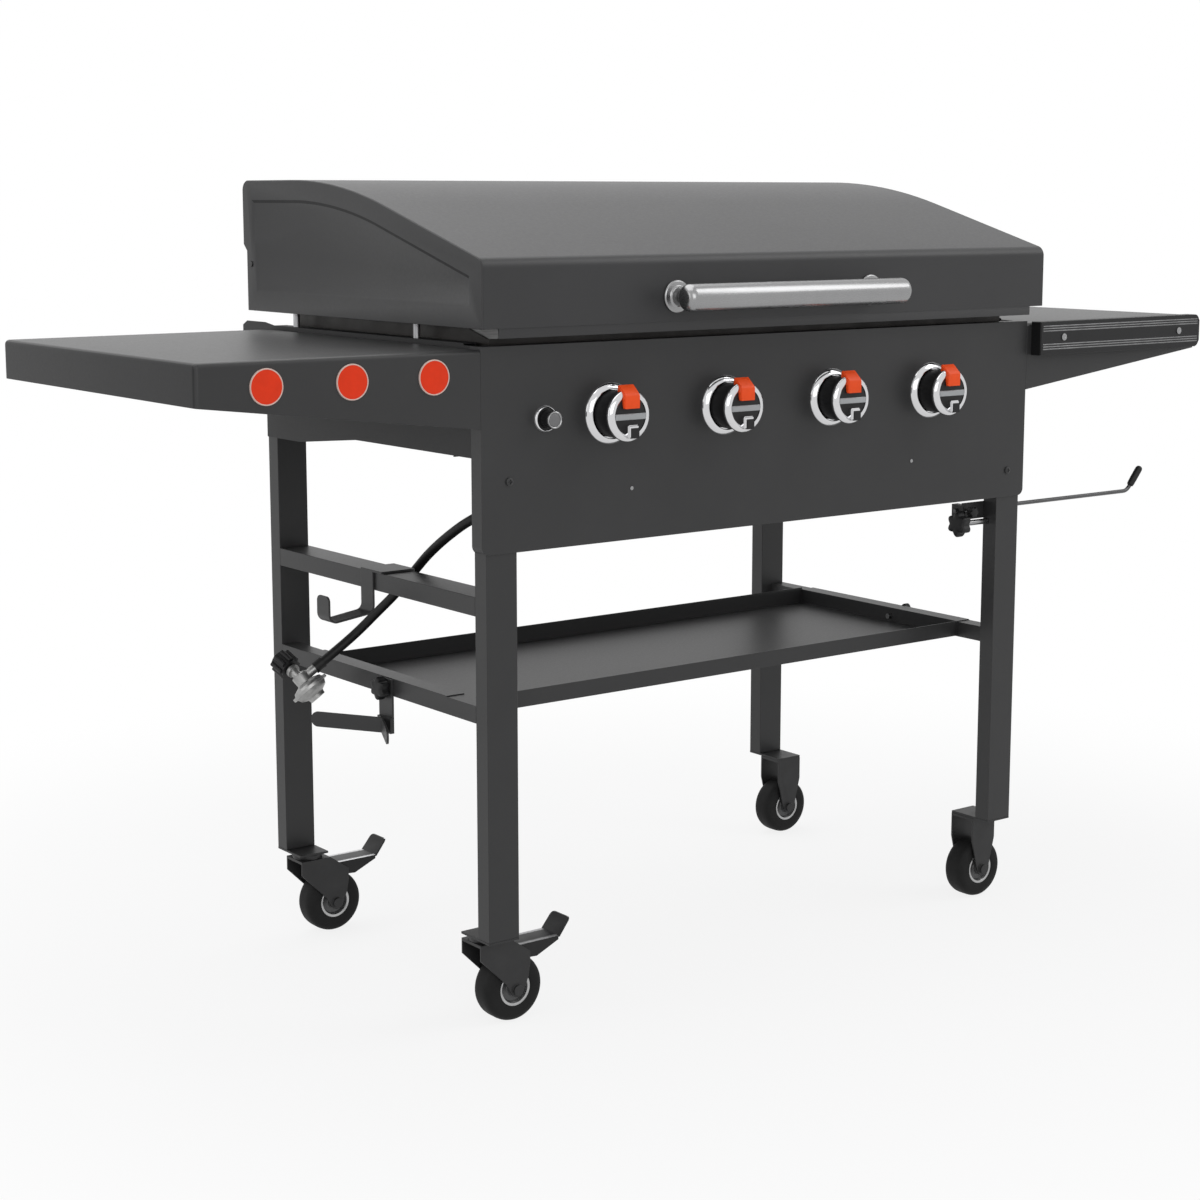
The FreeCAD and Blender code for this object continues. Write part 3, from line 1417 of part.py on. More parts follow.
def make_wheel(x, y):
    """Hub with a recessed web on each side, bored for the axle, and a tyre with rounded shoulders."""
    half = wheel_width / 2
    rim = wheel_radius - tyre_thickness
    hub_radius = 9.0
    bore = axle_radius + running_gap
    web = hub_web / 2
    hub_profile = [
        (bore, y - half - 1), (hub_radius, y - half - 1), (hub_radius + 1, y - web), (rim - 5, y - web), (rim - 3.5, y - half + 1),
        (rim, y - half + 1), (rim, y + half - 1), (rim - 3.5, y + half - 1), (rim - 5, y + web), (hub_radius + 1, y + web),
        (hub_radius, y + half + 1), (bore, y + half + 1),
    ]
    shoulder = 5.0
    tyre_profile = [
        (rim, y - half + 1), (rim + 2, y - half), (wheel_radius - shoulder, y - half), (wheel_radius - 1.5, y - half + 1.5),
        (wheel_radius, y - half + shoulder), (wheel_radius, y + half - shoulder), (wheel_radius - 1.5, y + half - 1.5),
        (wheel_radius - shoulder, y + half), (rim + 2, y + half), (rim, y + half - 1),
    ]
    return group([revolve_y(hub_profile, x, wheel_radius), revolve_y(tyre_profile, x, wheel_radius)])


nodes["front_left_wheel"] = make_wheel(-leg_centre_x + swivel_trail, front_swivel_y)
nodes["rear_left_wheel"] = make_wheel(-leg_centre_x + swivel_trail, rear_swivel_y)
nodes["front_right_wheel"] = make_wheel(leg_centre_x, front_fixed_y)
nodes["rear_right_wheel"] = make_wheel(leg_centre_x, rear_fixed_y)


def make_pedal(y):
    """Foot pedal on its pin between the fork cheeks: channel over the wheel and an upturned tab."""
    half = pedal_width / 2
    top = pivot_z + pedal_pin_radius + 3
    low = top - pedal_sheet
    start = pivot_x - 6
    end = pivot_x + pedal_reach
    tip = end + pedal_tab_lean
    outline = [
        (start, y - half, low), (end, y - half, low), (tip + pedal_sheet, y - half, top + pedal_tab),
        (tip, y - half, top + pedal_tab), (end - pedal_sheet, y - half, top), (start, y - half, top),
    ]
    around = box(start, tip + pedal_sheet, y - half, y + half, low, top + pedal_tab)
    tab_corners = []
    for edge in around.Edges:
        limits = edge.BoundBox
        if limits.ZMin > top + pedal_tab - 0.1 and limits.YLength < 0.1:
            tab_corners.append(edge)
    around = around.makeFillet(pedal_width / 8, tab_corners)
    pieces = [prism(outline, (0, pedal_width, 0)).common(around)]
    nose = start - 8
    for side in (-1, 1):
        y0 = y + side * half
        flange = [
            (start, y0, top), (end - 2, y0, top), (end - 2, y0, top - 5), (pivot_x + 49, y0, top - pedal_flange),
            (pivot_x + 20, y0, top - pedal_flange + 2), (pivot_x, y0, pivot_z - 7), (nose + 4, y0, pivot_z - 5),
            (nose, y0, pivot_z), (nose + 2, y0, top - 2),
        ]
        pieces.append(prism(flange, (0, -side * pedal_sheet, 0)))
    body = fuse_all(pieces)
    hole = rod_between((pivot_x, y - half - 1, pivot_z), (pivot_x, y + half + 1, pivot_z), pedal_pin_radius + running_gap)
    return body.cut(hole)


nodes["front_left_brake"] = make_pedal(front_swivel_y)
nodes["rear_left_brake"] = make_pedal(rear_swivel_y)


# Screws: panel bolts into the legs, panel rivets, tool strip rivets and shelf bolts with their spacers
def screw(x, y, z, way, radius, head):
    """Domed head standing out of a face along the given direction."""
    profile = [(0, 0), (radius, 0), (radius, head * 0.4), (radius * 0.6, head), (0, head)]
    return turned(profile, (x, y, z), way)


def make_fasteners():
    forward = (0, -1, 0)
    strip_rivet_z = shelf_top - strip_height / 2 + strip_rivet_rise - 1
    heads = [
        screw(bolt_left_inset - panel_half_width, 0, bolt_left_z, forward, screw_radius, screw_head),
        screw(panel_half_width - bolt_right_inset, 0, bolt_right_z, forward, screw_radius, screw_head),
    ]
    for x in (-rivet_x, rivet_x):
        heads.append(screw(x, 0, rivet_z, forward, screw_radius / 2, screw_head / 3))
    for x in (strip_start + strip_rivet_inset, strip_end - strip_rivet_inset):
        heads.append(screw(x, -strip_depth, strip_rivet_z, forward, screw_radius * 0.7, screw_head / 2))
    spacer_z = shelf_top - spacer_drop
    for side in (-1, 1):
        for y in (spacer_front, spacer_rear):
            start = (side * box_side, y, spacer_z)
            heads.append(rod_between(start, (side * panel_half_width, y, spacer_z), screw_radius + 2))
    return group(heads)


nodes["fasteners"] = make_fasteners()


# Export with the origin at the middle of the footprint, on the floor
front_most = hood_front - handle_reach - handle_radius
depth_centre = (front_most + box_back) / 2
for name, shape in nodes.items():
    placed = shape.copy()
    placed.translate(V(0, -depth_centre, 0))
    placed.exportStep("parts/%s.step" % name)
print("nodes %d, depth centre %.2f" % (len(nodes), depth_centre))
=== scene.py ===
# %% [markdown]
# # Outdoor gas griddle station
# The real object is a cart of folded and powder-coated sheet steel: a box with four burners under a thick
# flat plate, a hood, two side shelves, four tube legs on casters and a tray between them.
# The CAD model already has every piece at its real size and place. This scene dresses it: each piece gets
# softened edges and a finish, and the pieces that carry fine detail are built again as denser meshes.

# %% Load the CAD frame
import json
import math
from functools import partial

import bmesh
import bpy
from mathutils import Matrix, Vector


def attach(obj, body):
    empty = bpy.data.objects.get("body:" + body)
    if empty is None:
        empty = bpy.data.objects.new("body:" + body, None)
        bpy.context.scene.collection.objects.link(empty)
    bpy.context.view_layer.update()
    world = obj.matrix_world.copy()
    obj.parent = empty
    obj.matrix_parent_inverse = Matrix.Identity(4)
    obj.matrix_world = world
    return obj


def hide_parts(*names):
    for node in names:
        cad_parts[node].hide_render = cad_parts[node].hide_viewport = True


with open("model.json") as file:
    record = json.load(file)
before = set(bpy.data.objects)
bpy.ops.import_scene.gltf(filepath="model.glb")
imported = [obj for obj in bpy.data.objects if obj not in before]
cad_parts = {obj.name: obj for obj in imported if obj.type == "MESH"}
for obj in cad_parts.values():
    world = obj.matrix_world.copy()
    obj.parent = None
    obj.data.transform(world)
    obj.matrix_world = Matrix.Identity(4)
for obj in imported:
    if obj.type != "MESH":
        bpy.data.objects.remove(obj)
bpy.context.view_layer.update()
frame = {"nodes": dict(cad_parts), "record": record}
print("CAD pieces:", len(frame["nodes"]))

# %% [markdown]
# ## Where things are
# The CAD was drawn in millimetres from a datum on the floor, under the middle of the control panel's face.
# Its export moved the origin back to the middle of the footprint. One helper turns the drawing's numbers into
# this scene's metres, so every size below can be compared with the drawing.

# %% Datum and helpers
DATUM_BACK = 259.0
MM = 0.001


def at(x, y, z):
    """Point of the drawing, in millimetres, as a point of the scene, in metres."""
    return Vector((x * MM, (y - DATUM_BACK) * MM, z * MM))


body_of_node = {node: body for body, nodes in frame["record"]["behaviour"]["bodies"].items() for node in nodes}
slot_of_node = {part["node"]: part["material_slot"] for part in frame["record"]["subparts"]}
print("bodies:", len(set(body_of_node.values())))

# %% [markdown]
# ## Helpers for every node tree
# The studio, the finishes and the shapes that follow a rule are all node trees. Written out line by line they
# would fill the file, so one helper feeds a node's inputs, one adds a node, two do the sums, and one opens a group
# with its named inputs.

# %% Node helpers


def plug(tree, node, plugs):
    """Feeds a node's inputs with sockets, plain values or other nodes, which stand for their first output."""
    for label, value in plugs.items():
        source = value.outputs[0] if isinstance(value, bpy.types.Node) else value
        if isinstance(source, bpy.types.NodeSocket):
            tree.links.new(source, node.inputs[label])
        else:
            node.inputs[label].default_value = source


def step(tree, kind, plugs=None, **settings):
    """Adds a node, sets it and feeds its inputs."""
    made = tree.nodes.new(kind)
    for label, value in settings.items():
        setattr(made, label, value)
    plug(tree, made, plugs or {})
    return made


def calc(tree, operation, *terms):
    """One sum on numbers, sockets or nodes."""
    return step(tree, "ShaderNodeMath", dict(enumerate(terms)), operation=operation)


def sums(tree):
    """The three commonest sums, ready to call in one tree."""
    return [partial(calc, tree, operation) for operation in ("MULTIPLY", "SUBTRACT", "ADD")]


def open_tree(name, kind, inputs, results):
    """Empty node group with named inputs (kind, start value) and results; also returns its step and its inputs."""
    tree = bpy.data.node_groups.new(name, kind)
    for label, (socket, start) in inputs.items():
        made = tree.interface.new_socket(label, in_out="INPUT", socket_type="NodeSocket" + socket)
        if start is not None:
            made.default_value = start
    for label, socket in results.items():
        tree.interface.new_socket(label, in_out="OUTPUT", socket_type="NodeSocket" + socket)
    return tree, partial(step, tree), tree.nodes.new("NodeGroupInput").outputs


print("node helpers ready")

# %% [markdown]
# ## The camera
# The photograph was taken from the front left, a little above the shelves, with a moderate telephoto lens.
# Matching it first means that every later render can be laid over the photograph. The small lens shift puts
# the picture's centre where the photographer's crop had it.

# %% Camera
scene = bpy.context.scene
camera_data = bpy.data.cameras.new("photo_view")
camera_data.sensor_width = 36.0
camera_data.lens = 67.69
camera_data.shift_x = -0.0059
camera_data.shift_y = -0.0374
camera_data.clip_end = 60.0
camera = bpy.data.objects.new("photo_view", camera_data)
camera.location = at(-1959.46, -2216.43, 1031.48)
camera.rotation_euler = (math.radians(90 - 9.05), 0.0, math.radians(-37.11))
scene.collection.objects.link(camera)
scene.camera = camera
print("camera at", tuple(round(c, 3) for c in camera.location))

# %% [markdown]
# ## The studio
# A catalogue picture of a dark object is taken in a white tent. The tent's reflection lies on the hood, the
# shelves and the tray as a pale sheen, while upright faces stay near black. A world that is white to the camera
# and to reflections, and a good deal weaker as a lamp, does the same without burning out the colours.

# %% Lights and world
scene.view_settings.view_transform = "Standard"


def softbox(name, place, target, size, watts):
    """Rectangular area light that points at a target."""
    light = bpy.data.lights.new(name, "AREA")
    light.shape = "RECTANGLE"
    light.size, light.size_y = size
    light.energy = watts
    lamp = bpy.data.objects.new(name, light)
    lamp.location = place
    lamp.rotation_euler = (Vector(target) - Vector(place)).to_track_quat("-Z", "Y").to_euler()
    scene.collection.objects.link(lamp)


softbox("top_light", (-0.4, 0.7, 3.2), (0.0, 0.1, 0.8), (4.0, 2.6), 50)
softbox("front_light", (-1.9, -3.5, 1.9), (0.0, 0.0, 0.7), (2.6, 2.0), 32)
softbox("left_light", (-3.8, 0.4, 1.6), (0.0, 0.0, 0.7), (2.2, 1.8), 14)
softbox("handle_light", (2.0, -1.7, 2.9), (0.0, -0.2, 0.9), (1.5, 2.0), 25)


def white_to(tree, kinds):
    """Value that is 1 for the named kinds of ray and 0 for the rest."""
    rays = step(tree, "ShaderNodeLightPath").outputs
    total = rays[kinds[0]]
    for kind in kinds[1:]:
        total = calc(tree, "MAXIMUM", total, rays[kind])
    return total


SEEN_BY = ("Is Camera Ray", "Is Glossy Ray", "Is Transmission Ray")
WHITE = (1.0, 1.0, 1.0, 1.0)
GLOW_TINT = (0.97, 0.98, 1.0, 1.0)
GLOW_STRENGTH = 0.38
world = bpy.data.worlds.new("studio")
scene.world = world
world.use_nodes = True
sky = world.node_tree
sky.nodes.clear()
seen = step(sky, "ShaderNodeBackground", {"Color": WHITE, "Strength": 1.0})
glow = step(sky, "ShaderNodeBackground", {"Color": GLOW_TINT, "Strength": GLOW_STRENGTH})
to_eye = step(sky, "ShaderNodeMixShader", {0: white_to(sky, SEEN_BY), 1: glow, 2: seen})
step(sky, "ShaderNodeOutputWorld", {"Surface": to_eye})

# %% [markdown]
# ## The floor
# The paper floor of the picture runs up into a white backdrop with no line between them. A round floor does
# that too: near the wheels it is a matte pale surface that takes their shadow, and further out it turns into
# the same white as the world. The turn is a smooth step on the distance from the middle.

# %% Floor
FLOOR_RADIUS = 9.0
FLOOR_PAINT = (0.86, 0.86, 0.86, 1.0)
BELOW_WHEELS = 0.0005
SHADOW_REACH = (0.75, 1.7)
WHITE_NEAR = 0.84

bm = bmesh.new()
bmesh.ops.create_circle(bm, cap_ends=True, segments=96, radius=FLOOR_RADIUS)
mesh = bpy.data.meshes.new("floor")
bm.to_mesh(mesh)
bm.free()
floor = bpy.data.objects.new("floor", mesh)
scene.collection.objects.link(floor)
floor.location.z = -BELOW_WHEELS
paint = bpy.data.materials.new("floor_white")
paint.use_nodes = True
tree = paint.node_tree
tree.nodes.clear()
matte = step(tree, "ShaderNodeBsdfDiffuse", {"Color": FLOOR_PAINT})
white = step(tree, "ShaderNodeEmission", {"Color": WHITE, "Strength": 1.0})
place = step(tree, "ShaderNodeTexCoord")
radius = step(tree, "ShaderNodeVectorMath", {0: place.outputs["Object"]}, operation="LENGTH")
fade = step(tree, "ShaderNodeMapRange", {
    "Value": radius.outputs["Value"], "From Min": SHADOW_REACH[0], "From Max": SHADOW_REACH[1],
    "To Min": WHITE_NEAR, "To Max": 1.0}, interpolation_type="SMOOTHSTEP")
share = calc(tree, "MULTIPLY", fade, white_to(tree, SEEN_BY))
both = step(tree, "ShaderNodeMixShader", {0: share, 1: matte, 2: white})
step(tree, "ShaderNodeOutputMaterial", {"Surface": both})
mesh.materials.append(paint)
print("floor radius:", FLOOR_RADIUS)

# %% [markdown]
# ## Shared surface effects
# Powder coat, moulded plastic, rubber and rolled steel all have a fine relief and a tone that drifts a little
# over the surface. These effects are node groups with named inputs, so each finish below sets its own scale and
# strength. A picture texture would need files and would smear on folded sheet; noise on object coordinates does not.

# %% Node groups


def group_shell(name, numbers, result):
    """Empty shader group with a Vector input, number inputs and one number output."""
    inputs = {label: ("Float", start) for label, start in numbers.items()}
    return open_tree(name, "ShaderNodeTree", {"Vector": ("Vector", None), **inputs}, {result: "Float"})


def grain_group():
    """Fine bumps with a coarser orange-peel under them: powder coat, plastic grain, rubber."""
    tree, node, given = group_shell("fine_grain", {"Scale": 900.0, "Peel": 120.0, "Peel Share": 0.3}, "Height")
    fine = node("ShaderNodeTexNoise", {"Vector": given["Vector"], "Scale": given["Scale"], "Detail": 3.0})
    peel = node("ShaderNodeTexNoise", {"Vector": given["Vector"], "Scale": given["Peel"], "Detail": 2.0})
    blend = node("ShaderNodeMix", {"Factor": given["Peel Share"], "A": fine, "B": peel}, data_type="FLOAT")
    node("NodeGroupOutput", {"Height": blend})
    return tree


def drift_group():
    """Slow change of tone over a surface, as dust and uneven coating give."""
    tree, node, given = group_shell("tone_drift", {"Scale": 6.0, "Low": 0.9, "High": 1.1}, "Shade")
    cloud = node("ShaderNodeTexNoise", {"Vector": given["Vector"], "Scale": given["Scale"], "Detail": 5.0,
                                        "Roughness": 0.6})
    fit = node("ShaderNodeMapRange", {"Value": cloud, "From Min": 0.3, "From Max": 0.7,
                                      "To Min": given["Low"], "To Max": given["High"]})
    node("NodeGroupOutput", {"Shade": fit})
    return tree


def brush_group():
    """Long thin scratches along one axis, as a grinding belt leaves on steel."""
    tree, node, given = group_shell("brush_lines", {"Across " + axis: 1500.0 for axis in "XYZ"}, "Height")
    stretch = node("ShaderNodeCombineXYZ", {axis: given["Across " + axis] for axis in "XYZ"})
    scaled = node("ShaderNodeVectorMath", {0: given["Vector"], 1: stretch}, operation="MULTIPLY")
    lines = node("ShaderNodeTexNoise", {"Vector": scaled, "Scale": 1.0, "Detail": 4.0})
    node("NodeGroupOutput", {"Height": lines})
    return tree


GRAIN = grain_group()
DRIFT = drift_group()
BRUSH = brush_group()
print("node groups:", GRAIN.name, DRIFT.name, BRUSH.name)

# %% [markdown]
# ## Finishes
# One function builds every finish: a Principled shader whose base colour is shaded by the slow drift and whose
# normal comes from either the grain or the brush lines. What differs is data: colour, metal or not, roughness,
# and how coarse and deep the relief is.

# %% Finish builder
BUMP_STRENGTH = 0.6
RELIEF_SPAN = (0.25, 0.75)
SMOOTHEST = 0.03


def finish(name, colour, rough, relief, depth, drift=(6, 0.92, 1.08), metal=0, spread=0.06, specular=0.5):
    """Procedural material. relief is a group with its scales: GRAIN with fine scale, peel scale and peel share, or
    BRUSH with lines per metre along x, y and z. depth is in millimetres, drift is scale, darkest and lightest."""
    material = bpy.data.materials.new(name)
    material.use_nodes = True
    tree = material.node_tree
    place = step(tree, "ShaderNodeTexCoord").outputs["Object"]
    tone = step(tree, "ShaderNodeGroup", {0: place, **dict(enumerate(drift, 1))}, node_tree=DRIFT)
    tint = step(tree, "ShaderNodeVectorMath", {0: colour, "Scale": tone}, operation="SCALE")
    group, *scales = relief
    relief = step(tree, "ShaderNodeGroup", {0: place, **dict(enumerate(scales, 1))}, node_tree=group)
    bump = step(tree, "ShaderNodeBump", {"Strength": BUMP_STRENGTH, "Distance": depth * MM, "Height": relief})
    gloss = step(tree, "ShaderNodeMapRange", {
        "Value": relief, "From Min": RELIEF_SPAN[0], "From Max": RELIEF_SPAN[1],
        "To Min": max(SMOOTHEST, rough - spread), "To Max": min(1.0, rough + spread)})
    plug(tree, tree.nodes["Principled BSDF"], {
        "Metallic": metal, "Specular IOR Level": specular, "Base Color": tint, "Normal": bump, "Roughness": gloss})
    return material


print("finish builder ready")

# %% [markdown]
# The table below gives each slot of the CAD model its finish. Coated sheet is dark and half dull, bare steel is
# metal with brush lines, and plastics and rubber are nearly black.

# %% Finishes of the slots
COAT_GRAIN = (GRAIN, 1400, 260, 0.35)
FINISHES = {
    "panel_coat": finish("powder_coat_charcoal", (0.032, 0.032, 0.0325), 0.4, COAT_GRAIN, 0.03, specular=0.32),
    "hood_coat": finish("powder_coat_hood", (0.035, 0.035, 0.036), 0.41, (GRAIN, 1400, 220, 0.4), 0.025,
                        specular=0.33),
    "box_coat": finish("high_heat_black", (0.022, 0.022, 0.0225), 0.55, (GRAIN, 1800, 300, 0.3), 0.03, specular=0.35),
    "sheet_steel": finish("mill_steel", (0.45, 0.45, 0.46), 0.36, (BRUSH, 1200, 60, 1200), 0.01, metal=1),
    "plate_steel": finish("seasoned_plate", (0.022, 0.019, 0.017), 0.42, (GRAIN, 500, 40, 0.6), 0.05, (9, 0.7, 1.3),
                          metal=0.3, spread=0.12),
    "polished_steel": finish("polished_stainless", (0.29, 0.29, 0.293), 0.26, (BRUSH, 40, 1800, 1800), 0.004,
                             (20, 0.97, 1.03), metal=1, spread=0.04),
    "zinc_plate": finish("fork_black_zinc", (0.024, 0.024, 0.0245), 0.46, (GRAIN, 900, 90, 0.5), 0.03,
                         (40, 0.85, 1.15), metal=0.2, specular=0.4),
    "chrome_ring": finish("chrome", (0.62, 0.62, 0.63), 0.1, (GRAIN, 400, 60, 0.5), 0.003, (30, 0.98, 1.02), metal=1,
                          spread=0.03),
    "brass_body": finish("turned_brass", (0.66, 0.45, 0.16), 0.3, (BRUSH, 1500, 80, 1500), 0.01, metal=1),
    "regulator_cast": finish("cast_zinc", (0.34, 0.34, 0.335), 0.4, (GRAIN, 1100, 150, 0.4), 0.05, (60, 0.8, 1.15),
                             metal=0.8, spread=0.1),
    "badge_orange": finish("enamel_orange", (0.80, 0.042, 0.008), 0.42, (GRAIN, 600, 80, 0.5), 0.01, (60, 0.94, 1.06),
                           specular=0.22),
    "black_plastic": finish("moulded_black", (0.009, 0.009, 0.0095), 0.46, (GRAIN, 2200, 300, 0.3), 0.03,
                            (30, 0.85, 1.15), specular=0.28),
    "hose_rubber": finish("hose_cover", (0.007, 0.007, 0.007), 0.5, (GRAIN, 1600, 200, 0.4), 0.04, specular=0.3),
    "tyre_rubber": finish("tyre_black", (0.008, 0.008, 0.008), 0.66, (GRAIN, 1500, 150, 0.5), 0.06, (40, 0.75, 1.3),
                          specular=0.2),
}
print("finishes for the slots:", len(FINISHES))

# %% [markdown]
# Ten more finishes belong to single features rather than to a slot of the CAD model. They join the same table.

# %% Finishes of single features
FINISHES |= {
    "hub_grey": finish("hub_nylon", (0.085, 0.085, 0.086), 0.36, (GRAIN, 1500, 120, 0.4), 0.03, (40, 0.9, 1.1)),
    "hub_ring": finish("hub_ring", (0.42, 0.42, 0.42), 0.26, (GRAIN, 700, 80, 0.4), 0.01, (60, 0.85, 1.1), metal=0.9),
    "rim_pale": finish("badge_rim", (0.70, 0.52, 0.46), 0.3, (GRAIN, 600, 80, 0.5), 0.005, (60, 0.97, 1.03)),
    "band_steel": finish("grip_band", (0.34, 0.35, 0.36), 0.36, (BRUSH, 60, 1600, 1600), 0.008, metal=0.7),
    "rail_steel": finish("strip_rail", (0.17, 0.17, 0.172), 0.34, (BRUSH, 30, 1800, 1800), 0.006, (50, 0.8, 1.25),
                         metal=0.85),
    "tab_orange": finish("tab_orange", (0.90, 0.085, 0.012), 0.42, (GRAIN, 900, 120, 0.5), 0.015, (60, 0.94, 1.06),
                         specular=0.25),
    # Painted shade: a darker, duller coat for the downward walls of the hood ends' pressed step stands for the shade
    # in that crease.
    "step_shade": finish("coat_in_pressed_step", (0.012, 0.012, 0.0125), 0.55, (GRAIN, 1400, 220, 0.4), 0.02,
                         specular=0.25),
    # Painted shade: a darker, duller copy of the shelf coat for the left-facing end, so that side reads as shaded.
    "end_shade": finish("powder_coat_shelf_end", (0.021, 0.021, 0.0215), 0.46, COAT_GRAIN, 0.03, specular=0.2),
    "rod_grey": finish("rod_grey", (0.10, 0.10, 0.102), 0.38, (BRUSH, 40, 1600, 1600), 0.006, (40, 0.9, 1.1),
                       metal=0.9),
    "button_grey": finish("button_face", (0.16, 0.16, 0.163), 0.36, (GRAIN, 900, 120, 0.4), 0.008, (60, 0.9, 1.1),
                          metal=0.7),
}
print("finishes:", len(FINISHES))

# %% [markdown]
# ## A tread worn along its edges
# Shoes rub the paint off a brake pedal's long edges first, down to bare steel. The mask is the distance from the
# pedal's middle line, broken up by noise so that the worn line has a ragged border. It mixes the coat's colour
# with the steel's and turns the face metallic there.

# %% Worn tread


def worn_group():
    """Mask that is 1 along both edges of a strip that runs beside a line of constant y."""
    tree, node, given = group_shell("worn_edges", {
        "Middle": 0.0, "Half Width": 0.019, "Worn": 0.006, "Ragged": 0.004}, "Mask")
    times, minus, plus = sums(tree)
    axes = node("ShaderNodeSeparateXYZ", {0: given["Vector"]}).outputs
    rag = node("ShaderNodeTexNoise", {"Vector": given["Vector"], "Scale": 260.0, "Detail": 3.0})
    away = calc(tree, "ABSOLUTE", minus(axes[1], given["Middle"]))
    start = minus(given["Half Width"], given["Worn"])
    shifted = minus(away, times(rag, given["Ragged"]))
    fit = node("ShaderNodeMapRange", {
        "Value": shifted, "From Min": minus(start, given["Ragged"]), "From Max": start},
        interpolation_type="SMOOTHSTEP")
    node("NodeGroupOutput", {"Mask": fit})
    return tree


WORN = worn_group()
BARE_STEEL = (0.62, 0.62, 0.63, 1.0)
PEDAL_MIDDLES = {"front_left_brake": 45.0, "rear_left_brake": 492.0}


def worn_tread(name, middle):
    """Dark coat that is rubbed to bare steel along the edges of a pedal whose middle line is at y = middle."""
    material = finish(name, (0.030, 0.030, 0.031), 0.42, (GRAIN, 900, 90, 0.5), 0.03, (40, 0.85, 1.15))
    tree = material.node_tree
    shader = tree.nodes["Principled BSDF"]
    coat = shader.inputs["Base Color"].links[0].from_socket
    place = tree.nodes["Texture Coordinate"].outputs["Object"]
    mask = step(tree, "ShaderNodeGroup", {"Vector": place, "Middle": middle}, node_tree=WORN)
    blend = step(tree, "ShaderNodeMix", {"Factor": mask, "A": coat, "B": BARE_STEEL}, data_type="RGBA")
    plug(tree, shader, {"Base Color": blend.outputs["Result"], "Metallic": mask})
    return material


for node, middle in PEDAL_MIDDLES.items():
    FINISHES[node + "_tread"] = worn_tread("tread_" + node.split("_")[0], (middle - DATUM_BACK) * MM)
print("worn treads:", len(PEDAL_MIDDLES))

# %% [markdown]
# ## Dressing the sheet-metal pieces
# The CAD pieces arrive as loose triangles with knife-sharp edges. Real folded and laser-cut sheet has a small
# radius on each edge, which catches the light as a thin line. Each piece is copied, its triangles are merged
# back into whole faces, and a narrow bevel is put on its sharp edges. The CAD piece is then hidden behind its copy.

# %% Dress a CAD piece
MERGE_DISTANCE = 0.01 * MM
FLAT_ANGLE = math.radians(0.5)
EDGE_ANGLE = math.radians(40)


def finished_object(name, mesh, body, hides=()):
    """Puts a mesh in the scene, lets it ride on its body and stand for the CAD nodes it hides."""
    piece = bpy.data.objects.new(name, mesh)
    scene.collection.objects.link(piece)
    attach(piece, body)
    if hides:
        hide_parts(*hides)
    return piece


def soften(mesh, angle=35.0):
    """Smooth shading with the edges sharper than the angle kept crisp."""
    mesh.shade_smooth()
    mesh.set_sharp_from_angle(angle=math.radians(angle))


def dress(node, edge=0.5, segments=2):
    """Copy of a CAD node with merged faces, bevelled sharp edges and its slot's finish."""
    source = frame["nodes"][node]
    bm = bmesh.new()
    bm.from_mesh(source.data)
    bmesh.ops.remove_doubles(bm, verts=bm.verts, dist=MERGE_DISTANCE)
    bmesh.ops.dissolve_limit(bm, angle_limit=FLAT_ANGLE, verts=bm.verts, edges=bm.edges)
    mesh = bpy.data.meshes.new(node + "_skin")
    bm.to_mesh(mesh)
    bm.free()
    soften(mesh)
    mesh.materials.clear()
    mesh.materials.append(FINISHES[slot_of_node[node]])
    piece = finished_object(node + "_skin", mesh, body_of_node[node], hides=[node])
    bevel = piece.modifiers.new("edge", "BEVEL")
    bevel.width = edge * MM
    bevel.segments = segments
    bevel.limit_method = "ANGLE"
    bevel.angle_limit = EDGE_ANGLE
    bevel.use_clamp_overlap = True
    bevel.harden_normals = True
    return piece


DRESSED = {
    "front_panel": 0.6, "burner_box": 0.5, "front_left_leg": 1.2, "front_right_leg": 1.2, "rear_left_leg": 1.2,
    "rear_right_leg": 1.2, "left_upper_crossbar": 1.0, "left_lower_crossbar": 1.0, "right_lower_crossbar": 1.0,
    "bottom_shelf": 0.5, "griddle_plate": 0.8, "left_shelf": 0.5, "right_shelf": 0.5, "hood_shell": 0.5,
    "hood_left_end": 0.5, "hood_right_end": 0.5, "tank_hook": 0.6, "tank_bracket": 0.6, "rod_bracket": 0.5,
    "hinge_brackets": 0.5, "grease_cup": 0.4, "heat_shield": 0.4, "caster_plates": 0.6, "fixed_forks": 0.7,
    "front_left_fork": 0.7, "rear_left_fork": 0.7, "front_left_brake": 0.6, "rear_left_brake": 0.6,
    "regulator": 0.5, "regulator_nut": 0.4, "bag_rod": 0.3,
}
skins = {node: dress(node, edge) for node, edge in DRESSED.items()}
print("dressed pieces:", len(skins))

# %% [markdown]
# ## Two finishes on one piece
# Some pieces are one solid but carry two finishes: the brake pedal's tread is bare metal where shoes have rubbed
# it, the hood ends carry painted shade as a darker coat on the walls of their pressed step, the shelf's outer end
# carries painted shade as a darker, duller coat on its left-facing face, the bag rod ends in a rubber sleeve, and
# the hose's crimped ferrule is darker than the regulator. A second material and a test on each face is enough.

# %% Second finishes


def repaint(node, label, test):
    """Gives a second finish to the faces whose centre and normal pass the test."""
    mesh = skins[node].data
    mesh.materials.append(FINISHES[label])
    count = 0
    for face in mesh.polygons:
        if test(face.center, face.normal):
            face.material_index = 1
            count += 1
    print(node, "faces repainted:", count)


